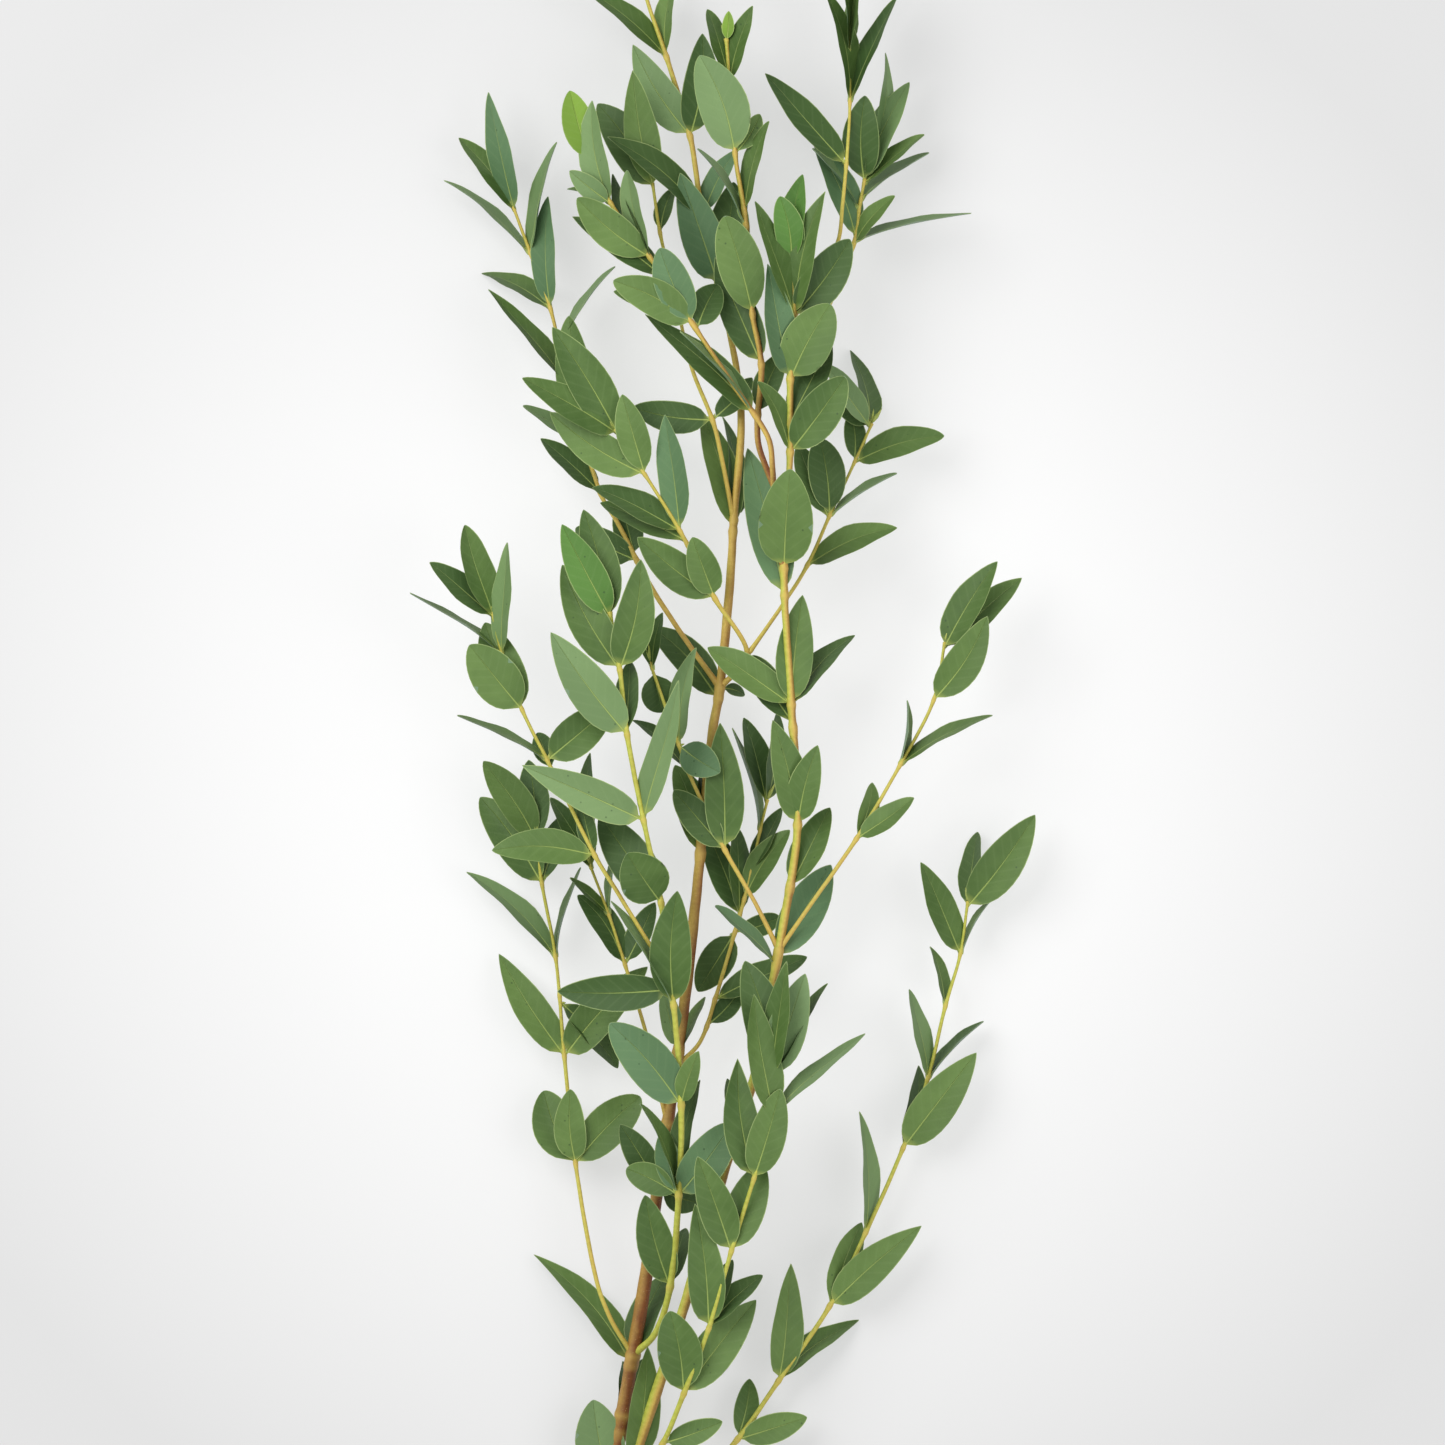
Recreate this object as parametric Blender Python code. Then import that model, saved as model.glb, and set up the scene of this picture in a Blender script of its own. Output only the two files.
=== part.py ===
"""A cut eucalyptus branch, lying on a flat surface.

The branch is one main stem, two long leaders and their side twigs. Each twig carries
its leaves in pairs, and a twig and its leaves are one solid, because they grew as one.
The stem runs along +Y, its cut end is at the -Y end, and +Z is up from the surface.
Places in the tables are millimetres: x across the branch, y along it, z above the surface.
"""
import math

import bpy
import numpy as np

MM = 0.001
SEAT_GAP = 0.3
BRANCH_CENTRE = (0.25, 339.69, 0.84)

STEM_SIDES = 6
RING_SPACING = 22.0
LEAF_WIDTH_TO_LENGTH = 0.40
USUAL_LEAF_WIDTH = 15.0
LEAF_THICKNESS = 0.9
LEAF_BOW = 0.05
PETIOLE_HALF_WIDTH = 0.45
PETIOLE_SET_OUT = 0.6
END_INSET = 0.1
LEAF_STATIONS = ((0.30, 0.96), (0.66, 0.82))

LEAF_GREEN = (0.09, 0.22, 0.10, 1.0)
BARK_BROWN = (0.30, 0.13, 0.05, 1.0)

# A sprig's "points" are joined by one smooth curve. Place 0 is its foot, place 1 the first
# point listed, and place 1.5 lies halfway to the second.
# "thick" is the stem's thickness at the foot and at the tip.
# A leaf is (place, tip x, tip y, rise of the tip, width seen from above). A leaf that shows
# narrower than it is stands on its edge, and a negative width leans it the other way.
SPRIGS = {
    "main_stem": {
        "thick": (6.4, 1.4),
        "cut_end": (-50, 0, 4),
        "points": [(-46, 30, 9), (-42, 60, 14), (-36, 95, 20), (-31, 125, 24), (-26, 162, 28),
                   (-22, 188, 30), (-16, 230, 33), (-11, 275, 35), (-4, 345, 37), (-1, 363, 37),
                   (3, 405, 38), (4.5, 430, 38), (7.5, 470, 36), (4.5, 497, 34), (-8, 552, 31),
                   (-13, 584, 28), (-22.5, 616, 24), (-30, 638, 22), (-34, 654, 21)],
        "leaves": [(1.4, -52, 77, 6, 20), (2.1, -40, 92, -11, 6), (2.3, -32, 93, -10, 8),
                   (2.9, -76, 135, -14, 11), (3, -22, 128, -12, 12), (5, -8, 156, -8, 12),
                   (5.05, -41, 188, 4, 12), (6.6, -7, 239, -9, 5), (6.7, -24, 243, 6, 9),
                   (8.3, -19, 332, -7, 14), (8.35, -6, 338, -9, 10), (9.75, -30, 388, -22, 14),
                   (10, 9, 360, -9, 5), (11.85, -9, 474, -10, 13), (12, 0, 472, -18, 8),
                   (14.5, -17, 569, 5, 17), (14.45, 4.5, 566, -12, 18), (15, -46, 583, 21, 11),
                   (15, 6, 579, -5, 9), (16, -8, 625, 7, 15), (16, -36, 621, -3, 15),
                   (17, -58, 645, 6, 9), (17, -20, 646, -5, 8), (19, -47, 676, 3, 8),
                   (19, -29, 680, -3, 9)],
    },
    "centre_left_leader": {
        "thick": (2.8, 1.8),
        "grows_from": ("main_stem", 3),
        "points": [(-27, 104, 27), (-21, 123, 36), (-17.5, 160, 45), (-16.5, 196, 51),
                   (-19.5, 236, 56), (-22, 252, 57), (-24.5, 277, 59), (-31.5, 310, 61),
                   (-38, 344, 62), (-41, 370, 62), (-45, 393, 61)],
        "leaves": [(2, -31, 160, 6, 15), (2, -15, 146, -18, 9), (3, -38.5, 170.5, -6, 12),
                   (3, -33, 197, 8, 5), (3, -24, 186, -8, 11), (3, 4, 189, 6, 17),
                   (3, -9, 206, -12, 9), (4, -45, 229, 4, 19), (4, -9.5, 218, 10, 9),
                   (5, -18, 282, 8, 17), (5, -44.5, 278, 3, 5), (5.4, -66, 241.5, -10, 15),
                   (7, -38, 297, 12, 20), (7, -49, 312, -16, 18), (8, -80, 332, 4, 15),
                   (8, -17.5, 366, 3, 11), (9, -68.5, 385, 4, 18), (9, -37, 374, -10, 10),
                   (10, -64, 412, -6, 16), (10, -32.5, 414, 6, 16), (11, -64, 428, 5, 15),
                   (11, -55.5, 434, -4, 15)],
    },
    "right_leader": {
        "thick": (5.0, 2.2),
        "grows_from": ("main_stem", 1),
        "points": [(-38.5, 42, 15), (-34, 58, 20), (-24, 88, 30), (-16, 113, 35), (-8, 140, 39),
                   (4, 180, 44), (14, 212, 46), (20, 245, 48), (22.5, 258, 49), (30, 308, 52),
                   (27.5, 356, 54), (24.5, 410.5, 55), (27, 457, 54), (27, 486, 55),
                   (28.5, 511, 55), (27.5, 534, 54)],
        "leaves": [(1.6, -30, 99, 14, 13), (1.7, -33, 76, -10, 8), (6, 2, 206.5, -10, 8),
                   (8.55, -3, 276, 11, 5), (8.75, 43.5, 292, -19, 17), (9.5, 43, 315, -8, 13),
                   (10, 20, 350, 5, 14), (10, 38, 340, 7, 13), (11, -6, 379, -6, 13),
                   (11, 32, 400, -4, 15), (11, 53, 384, -12, 9), (10.85, 12, 376, -18, 13),
                   (12, 27, 450, 14, 22), (11.8, 10, 459, -24, 17), (13, 14, 485, 8, 8),
                   (13, 49, 487, 4, 17), (13.4, 43, 502, -10, 13), (14, 43, 516, 4, 20),
                   (14, 18, 532, 6, 13), (15, 13, 557, 5, 9), (15, 41, 561, 3, 12),
                   (15, 51, 542, -2, 17), (16, 23, 559, 4, 12), (16, 32, 568, -3, 11)],
    },
    "front_low_twig": {
        "thick": (2.4, 1.3),
        "grows_from": ("right_leader", 1),
        "points": [(-30, 52, 24), (-24, 60, 31), (-15.5, 80.5, 42), (-5.5, 107, 50), (3.5, 138, 56),
                   (12.5, 167, 60), (20, 192, 62), (20, 210, 62)],
        "leaves": [(2, 0, 69, 3, 10), (3, -21, 114, 8, 18), (3, 13.5, 118, -3, 17),
                   (4, -11, 157, 4, 15), (4, 16, 128, -10, 9), (4, 4, 134, -14, 10),
                   (5, -10, 176, 6, 15), (5, 16, 173, -4, 16), (6, 23, 203, 5, 15),
                   (6, 6, 215, -4, 15), (7, 57, 225, -6, 6), (7, 12.5, 241, 7, 13),
                   (8, 9, 254, -3, 17), (8, 33, 249, 3, 16), (8, 25.5, 254, 9, 10),
                   (8, 42, 245, -8, 6)],
    },
    "left_mid_twig": {
        "thick": (1.9, 1.2),
        "grows_from": ("centre_left_leader", 6),
        "points": [(-28, 259, 58), (-43, 283, 58), (-51, 296, 57), (-63, 320, 55), (-70, 334, 54),
                   (-80, 354, 52), (-88, 376, 50), (-92, 393, 48)],
        "leaves": [(3, -92, 298, 3, 14), (3, -57, 318, -4, 8), (5, -106, 352, 2, 3),
                   (5, -44, 356, -4, 16), (4.7, -74, 345, -10, 9), (6, -101, 380, 5, 19),
                   (6, -95, 389, -8, 17), (7, -86, 421, 3, 8), (7, -125, 401, -3, 2),
                   (8, -117, 413, 5, 10), (8, -103, 428, 0, 12)],
    },
    "left_low_twig": {
        "thick": (2.0, 1.2),
        "grows_from": ("main_stem", 3),
        "points": [(-45, 110, 25), (-51, 127, 24), (-59, 172, 20), (-63.5, 215, 18),
                   (-67, 254.5, 17), (-72.5, 284, 17), (-75, 303, 16)],
        "leaves": [(3, -72, 201, -8, 18), (3, -61, 202, 8, 13), (3, -33, 199, 2, 17),
                   (4, -90, 256, -10, 14), (4, -30, 251, 2, 16), (4.55, -42, 210, -6, 10),
                   (5, -103, 289, -5, 8), (5, -57, 291, 3, 2), (6, -97.5, 319, -9, 17),
                   (6, -58, 317, -15, 11), (7, -96, 333.5, 5, 14), (7, -78, 334, -9, 13)],
    },
    "right_low_twig": {
        "thick": (2.4, 1.2),
        "grows_from": ("main_stem", 0.45),
        "points": [(-36, 28, 10), (-10, 45, 13), (6, 61, 15), (22.5, 84.5, 16), (43, 114.5, 16),
                   (57.5, 144, 16), (72.5, 178, 16), (82.5, 206, 16), (89.5, 235, 17),
                   (95.5, 256, 18), (98.5, 277, 18)],
        "leaves": [(3, 11, 85, -8, 10), (3, 34, 70, 3, 12), (4, 27.5, 132, 6, 13),
                   (4, 55, 108.5, -15, 9), (5, 56, 148, -6, 12), (5, 80, 147, 4, 15),
                   (6, 55, 193, 5, 7), (7, 102, 216.5, 4, 17), (7, 79, 211, -12, 10),
                   (8, 75, 242, 4, 7), (8, 105, 229, -6, 3), (9, 83.5, 259, -6, 5),
                   (10, 79.5, 293, 3, 12), (10, 110, 280, -6, 2), (11, 125.5, 312, 4, 17),
                   (11, 102.5, 305, -14, 8)],
    },
    "right_side_twig": {
        "thick": (1.9, 1.2),
        "grows_from": ("right_leader", 9),
        "points": [(35, 276, 51), (53.5, 302.5, 49), (71, 332, 45), (84.5, 358, 41), (89, 381, 38)],
        "leaves": [(2, 60, 325, -8, 8), (2, 76.5, 319, 4, 9), (3, 108, 352, 2, 5),
                   (3, 74, 358, -3, 2), (4, 106, 391.5, 4, 15), (5, 110, 413.5, 3, 13),
                   (5, 120, 407, -7, 12)],
    },
    "inner_left_twig": {
        "thick": (2.0, 1.2),
        "grows_from": ("right_leader", 9),
        "points": [(13, 277, 48), (1, 298, 46), (-14, 330, 45), (-17.5, 340, 45), (-29, 373, 43)],
        "leaves": [(2, -19.5, 322, -2, 13), (2, -1, 349, -1, 16), (3, -36, 350, -6, 6),
                   (4, -10.5, 379, 5, 9), (4, -1, 329, 7, 14), (5, -36, 391, -2, 6),
                   (5, -24, 393, 4, 6), (5, -24, 353, -6, 14)],
    },
    "upper_left_twig": {
        "thick": (2.2, 1.2),
        "grows_from": ("main_stem", 10),
        "points": [(10, 376, 42), (-3, 398.5, 48), (-17, 425.5, 50), (-31, 448, 51),
                   (-43, 466, 50)],
        "leaves": [(2, -34, 423, 3, 15), (2, -12, 423, 7, 13), (3, -52, 443, -5, 11),
                   (2.85, -49, 437, -11, 11), (3, -23, 472, 3, 12), (4, -69, 473, -3, 15),
                   (4, -40, 480, 5, 13), (5, -80, 486.5, 7, 13), (5, -68, 507, 0, 17)],
    },
    "right_thin_twig": {
        "thick": (1.8, 1.1),
        "grows_from": ("upper_left_twig", 1),
        "points": [(24, 396, 38), (34, 412, 33), (43, 432, 28), (53, 453.5, 23), (60, 469, 20)],
        "leaves": [(2, 70, 427, 3, 11), (3, 39, 463, -4, 15), (2.95, 30, 461, -8, 12),
                   (3, 70, 449, 2, 3), (4, 51.5, 473, -8, 9), (4, 89, 464, 3, 12),
                   (5, 44, 481, -6, 9), (5, 41, 493, 5, 9), (5, 51.5, 499, -19, 8)],
    },
    "far_left_twig": {
        "thick": (2.3, 1.2),
        "grows_from": ("main_stem", 10),
        "points": [(-14, 381, 35), (-29, 404, 33), (-42, 429, 31), (-49, 441, 30), (-62, 484, 27),
                   (-69, 515, 24), (-77, 537, 22), (-84, 556, 20)],
        "leaves": [(2.4, -59, 427, -7, 13), (2.45, -41, 438, -8, 12), (4, -73, 463, -6, 9),
                   (4.4, -80, 476, 3, 6), (5, -94, 523, -5, 7), (4.7, -61.5, 512, 5, 14),
                   (5.5, -43, 532, 4, 3), (6, -97, 530, -23, 8), (6, -70, 560, 4, 10),
                   (7, -112, 567, -8, 4), (7, -66.5, 582, 3, 5), (8, -106, 584, -5, 10),
                   (8, -94, 602, 4, 10)],
    },
    "inner_up_twig": {
        "thick": (2.0, 1.2),
        "grows_from": ("main_stem", 12),
        "points": [(-1, 458, 42), (-4, 470, 43), (-12, 490, 43), (-18, 515, 41), (-25, 545, 38),
                   (-28, 565, 36)],
        "leaves": [(2, -36, 475, -4, 13), (2, 12, 487, -5, 9), (5, -19, 564, -8, 7),
                   (6, -50, 597, -4, 17), (6, -36, 610, 4, 14)],
    },
    "left_up_twig": {
        "thick": (2.6, 1.4),
        "grows_from": ("right_leader", 12),
        "points": [(21, 428, 55), (20, 450, 60), (18, 463, 62), (4, 484, 63), (-12, 508, 64),
                   (-29, 534.5, 62), (-44.5, 556, 59), (-54, 575, 56)],
        "leaves": [(3.4, -31, 512, -7, 12), (3.45, -17, 505, 5, 3), (5, -43.5, 525, 5, 15),
                   (5, -43.5, 521, -7, 12), (5, -25, 538, 4, 15), (4.9, -2, 524, -12, 13),
                   (6, -58, 558, 4, 15), (5.7, -60, 551, -9, 12), (6, -38, 569, 7, 8),
                   (5.95, -44, 568, -7, 7), (7, -61, 569, 3, 9), (7, -62, 562, -3, 3),
                   (7, -52, 597, 4, 11), (8, -61, 601, 4, 13), (8, -54, 588, 3, 4)],
    },
    "up_leader": {
        "thick": (2.8, 1.5),
        "grows_from": ("right_leader", 12.5),
        "points": [(19, 447, 50), (14, 463, 52), (15.5, 492, 54), (12, 512, 55), (9.5, 547, 56),
                   (5, 576, 56), (3, 604, 54), (1.5, 622, 53)],
        "leaves": [(3, -3, 535, -10, 15), (2.3, 24, 497, -9, 11), (4, 1, 551, 7, 18),
                   (5, -10, 578, 4, 3), (5, 12, 572, -12, 4), (5.2, 18.5, 589, 3, 7),
                   (6, -9, 615, 6, 20), (6, 15, 592, -5, 8), (7, -6, 634, -4, 8),
                   (7, 12, 635, 4, 8), (8, 2.5, 633, 2, 5)],
    },
    "low_back_twig": {
        "thick": (1.8, 1.1),
        "grows_from": ("main_stem", 6),
        "points": [(-27, 208, 33), (-31, 226, 35), (-39, 252, 37), (-45.5, 272, 38),
                   (-53, 292, 38)],
        "leaves": [(3, -58, 280, 2, 11), (3, -27, 277, -5, 10), (4, -61, 287, 4, 4),
                   (4, -43, 297, 3, 3), (5, -69, 319, -4, 9), (5, -53, 337, 0, 9)],
    },
    "mid_back_twig": {
        "thick": (1.9, 1.1),
        "grows_from": ("main_stem", 6.55),
        "points": [(-9, 221, 31), (-3, 238, 30), (5, 265, 29), (11, 287, 29), (15, 305.5, 29),
                   (18, 318, 29)],
        "leaves": [(1.4, 8, 243, -6, 9), (2, 34, 255, -6, 11), (3, -10, 241, -7, 14),
                   (3.3, -7, 307, -6, 14), (3.3, 5, 308, -3, 9), (3, 23, 271, -5, 9),
                   (3.6, 27, 306, 4, 11), (4.1, 24, 315, -5, 7), (5, 4, 347, 3, 2),
                   (6, 8.5, 351, -5, 10), (6, 22, 354, -3, 8)],
    },
    "top_right_twig": {
        "thick": (1.9, 1.1),
        "grows_from": ("right_leader", 15),
        "points": [(36, 524, 48), (46, 541, 43), (48, 556, 41), (49.5, 572, 40), (51, 597, 39),
                   (50.5, 619, 38)],
        "leaves": [(4, 17, 609, -4, 12), (5, 41, 642, 4, 8),
                   (5, 70, 640, -4, 7), (6, 47, 652, 3, 5), (6, 57, 655, -3, 5)],
    },
    "outer_right_twig": {
        "thick": (1.9, 1.1),
        "grows_from": ("right_leader", 14),
        "points": [(37, 505, 44), (46, 523, 37), (53, 542, 32), (55, 556, 30), (57, 567, 29)],
        "leaves": [(3, 100, 553.5, -8, 3), (2.9, 69, 560, 4, 7), (3.1, 36, 584, -3, 12),
                   (5, 57, 600, 9, 15), (5, 75, 606, -6, 12), (4.8, 81, 585, -4, 6),
                   (4.2, 83, 578, -12, 5), (5, 65.5, 618, -8, 7), (3.9, 36, 579, 6, 3)],
    },
}


def stem_path(name):
    """The sprig's points in order, foot first, as an array of places in millimetres."""
    sprig = SPRIGS[name]
    points = [np.array(point, dtype=float) for point in sprig["points"]]
    if "cut_end" in sprig:
        return np.array([np.array(sprig["cut_end"], dtype=float)] + points)
    parent, place = sprig["grows_from"]
    parent_path = stem_path(parent)
    joint = stem_point(parent_path, place)
    along = stem_direction(parent_path, place)
    outward = points[0] - joint
    outward -= along * outward.dot(along)
    outward /= np.linalg.norm(outward)
    reach = stem_radius(parent, place, len(parent_path)) + SEAT_GAP + 0.5 * sprig["thick"][0]
    return np.array([joint + outward * reach] + points)


def stem_radius(name, place, count):
    """Half the stem's thickness at a place: it thins evenly from the foot to the tip."""
    foot, tip = SPRIGS[name]["thick"]
    return 0.5 * (foot + (tip - foot) * place / (count - 1))


def slope_at(path, index):
    """The direction of the curve at one of its points, from the points on both sides."""
    first, last = max(index - 1, 0), min(index + 1, len(path) - 1)
    steps = np.linalg.norm(np.diff(path[first:last + 1], axis=0), axis=1)
    return (path[last] - path[first]) / steps.sum()


def stem_point(path, place):
    """A point of the smooth curve through the path: a cubic with the slopes at both ends."""
    index = min(int(place), len(path) - 2)
    step = place - index
    start, end = path[index], path[index + 1]
    span = np.linalg.norm(end - start)
    lean_out = slope_at(path, index) * span
    lean_in = slope_at(path, index + 1) * span
    square, cube = step ** 2, step ** 3
    return ((2 * cube - 3 * square + 1) * start + (cube - 2 * square + step) * lean_out
            + (3 * square - 2 * cube) * end + (cube - square) * lean_in)


def stem_direction(path, place):
    """The unit direction of the curve at a place."""
    last = len(path) - 1
    ahead = stem_point(path, min(place + 0.02, last))
    behind = stem_point(path, max(place - 0.02, 0))
    return (ahead - behind) / np.linalg.norm(ahead - behind)


def solid(name, rings, start, end):
    """A closed mesh through rings of equal count, with its ends drawn to the two points."""
    sides = len(rings[0])
    points = [start] + [point for ring in rings for point in ring] + [end]
    last = len(points) - 1
    faces = []
    for side in range(sides):
        beside = (side + 1) % sides
        faces.append((0, 1 + beside, 1 + side))
        for row in range(len(rings) - 1):
            low, high = 1 + row * sides, 1 + (row + 1) * sides
            faces.append((low + side, low + beside, high + beside, high + side))
        top = 1 + (len(rings) - 1) * sides
        faces.append((top + side, top + beside, last))
    mesh = bpy.data.meshes.new(name)
    placed = (np.array(points) - np.array(BRANCH_CENTRE)) * MM
    mesh.from_pydata(placed.tolist(), [], faces)
    mesh.validate()
    return mesh


def stem_mesh(name, path):
    """A round stem that thins along its curve, with a flat end at the foot and the tip."""
    places = []
    for index in range(len(path) - 1):
        span = np.linalg.norm(path[index + 1] - path[index])
        steps = max(1, round(span / RING_SPACING))
        places += [index + step / steps for step in range(steps)]
    places.append(len(path) - 1)
    side = np.array([0.0, 0.0, 1.0])
    rings = []
    for place in places:
        along = stem_direction(path, place)
        side = side - along * side.dot(along)
        side /= np.linalg.norm(side)
        across = np.cross(along, side)
        radius = stem_radius(name, place, len(path))
        centre = stem_point(path, place)
        turns = [2 * math.pi * step / STEM_SIDES for step in range(STEM_SIDES)]
        rings.append([centre + radius * (math.cos(turn) * side + math.sin(turn) * across)
                      for turn in turns])
    return solid(name, rings, stem_point(path, 0), stem_point(path, len(path) - 1))


def leaf_mesh(name, sprig, path, leaf):
    """A thin pointed blade from inside the stem to the leaf's tip, lens-like across."""
    place, tip_x, tip_y, rise, shown = leaf
    middle = stem_point(path, min(place, len(path) - 1 - END_INSET))
    tip = np.array([tip_x, tip_y, middle[2] + rise])
    along = (tip - middle) / np.linalg.norm(tip - middle)
    base = middle + along * stem_radius(sprig, place, len(path)) * PETIOLE_SET_OUT
    length = np.linalg.norm(tip - base)
    flat_side = np.cross(along, (0.0, 0.0, 1.0))
    flat_side /= np.linalg.norm(flat_side)
    flat_face = np.cross(flat_side, along)
    width = max(abs(shown), min(LEAF_WIDTH_TO_LENGTH * length, USUAL_LEAF_WIDTH))
    stem_along = stem_direction(path, place)
    leans_left = stem_along[0] * along[1] - stem_along[1] * along[0] > 0
    turn = math.acos(abs(shown) / width) * (-1 if leans_left else 1) * math.copysign(1, shown)
    side = math.cos(turn) * flat_side + math.sin(turn) * flat_face
    face = math.cos(turn) * flat_face - math.sin(turn) * flat_side
    rings = [blade_ring(base, side, face, PETIOLE_HALF_WIDTH)]
    for share, fullness in LEAF_STATIONS:
        lift = face * LEAF_BOW * length * 4 * share * (1 - share)
        middle = base + (tip - base) * share + lift
        rings.append(blade_ring(middle, side, face, 0.5 * width * fullness))
    return solid(name, rings, base - along * PETIOLE_HALF_WIDTH, tip)


def blade_ring(middle, side, face, half_width):
    """The four corners of the blade across one station: two edges, upper and lower face."""
    half_thick = 0.5 * LEAF_THICKNESS
    return [middle + side * half_width, middle - face * half_thick,
            middle - side * half_width, middle + face * half_thick]


def material(name, colour, roughness):
    """A plain surface in one colour."""
    made = bpy.data.materials.new(name)
    made.use_nodes = True
    shader = made.node_tree.nodes["Principled BSDF"]
    shader.inputs["Base Color"].default_value = colour
    shader.inputs["Roughness"].default_value = roughness
    shader.inputs["Metallic"].default_value = 0.0
    return made


def sprig_object(name, surface):
    """The stem as one object, with its leaves joined on by a Boolean union."""
    path = stem_path(name)
    stem = bpy.data.objects.new(name, stem_mesh(name, path))
    bpy.context.collection.objects.link(stem)
    stem.data.materials.append(surface)
    leaves = bpy.data.collections.new(name + "_leaves")
    bpy.context.scene.collection.children.link(leaves)
    for number, leaf in enumerate(SPRIGS[name]["leaves"]):
        leaf_name = f"{name}_leaf_{number}"
        blade = bpy.data.objects.new(leaf_name, leaf_mesh(leaf_name, name, path, leaf))
        blade.hide_render = True
        blade.display_type = "WIRE"
        leaves.objects.link(blade)
    join = stem.modifiers.new("join_leaves", "BOOLEAN")
    join.operation = "UNION"
    join.solver = "EXACT"
    join.operand_type = "COLLECTION"
    join.collection = leaves


for old in list(bpy.data.objects):
    bpy.data.objects.remove(old, do_unlink=True)

leaf_surface = material("leaf", LEAF_GREEN, 0.5)
bark_surface = material("bark", BARK_BROWN, 0.6)
for sprig_name in SPRIGS:
    sprig_object(sprig_name, bark_surface if "cut_end" in SPRIGS[sprig_name] else leaf_surface)
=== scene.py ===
# %% [markdown]
# # A cut eucalyptus branch
# This lesson dresses a branch of small-leaved gum that lies on a pale table. The solids of
# the construction model are loaded first, and each plain sprig is then replaced by a fine
# stem and its leaves. All lengths in the tables are millimetres, and the scene is in metres.

import bpy
import numpy as np
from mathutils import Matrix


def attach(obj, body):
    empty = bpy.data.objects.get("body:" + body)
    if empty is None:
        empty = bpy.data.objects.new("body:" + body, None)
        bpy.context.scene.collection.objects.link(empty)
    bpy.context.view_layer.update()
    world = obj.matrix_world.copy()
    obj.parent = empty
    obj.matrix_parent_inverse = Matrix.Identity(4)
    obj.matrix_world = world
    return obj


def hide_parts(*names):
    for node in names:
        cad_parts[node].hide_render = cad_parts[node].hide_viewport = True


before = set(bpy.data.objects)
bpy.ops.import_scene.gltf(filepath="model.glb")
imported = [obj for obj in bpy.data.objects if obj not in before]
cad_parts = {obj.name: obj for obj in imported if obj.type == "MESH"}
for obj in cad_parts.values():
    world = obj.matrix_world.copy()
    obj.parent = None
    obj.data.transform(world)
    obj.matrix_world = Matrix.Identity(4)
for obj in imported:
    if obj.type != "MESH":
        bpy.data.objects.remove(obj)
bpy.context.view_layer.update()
MM = 0.001
print("solids in the frame:", len(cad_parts))
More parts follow.
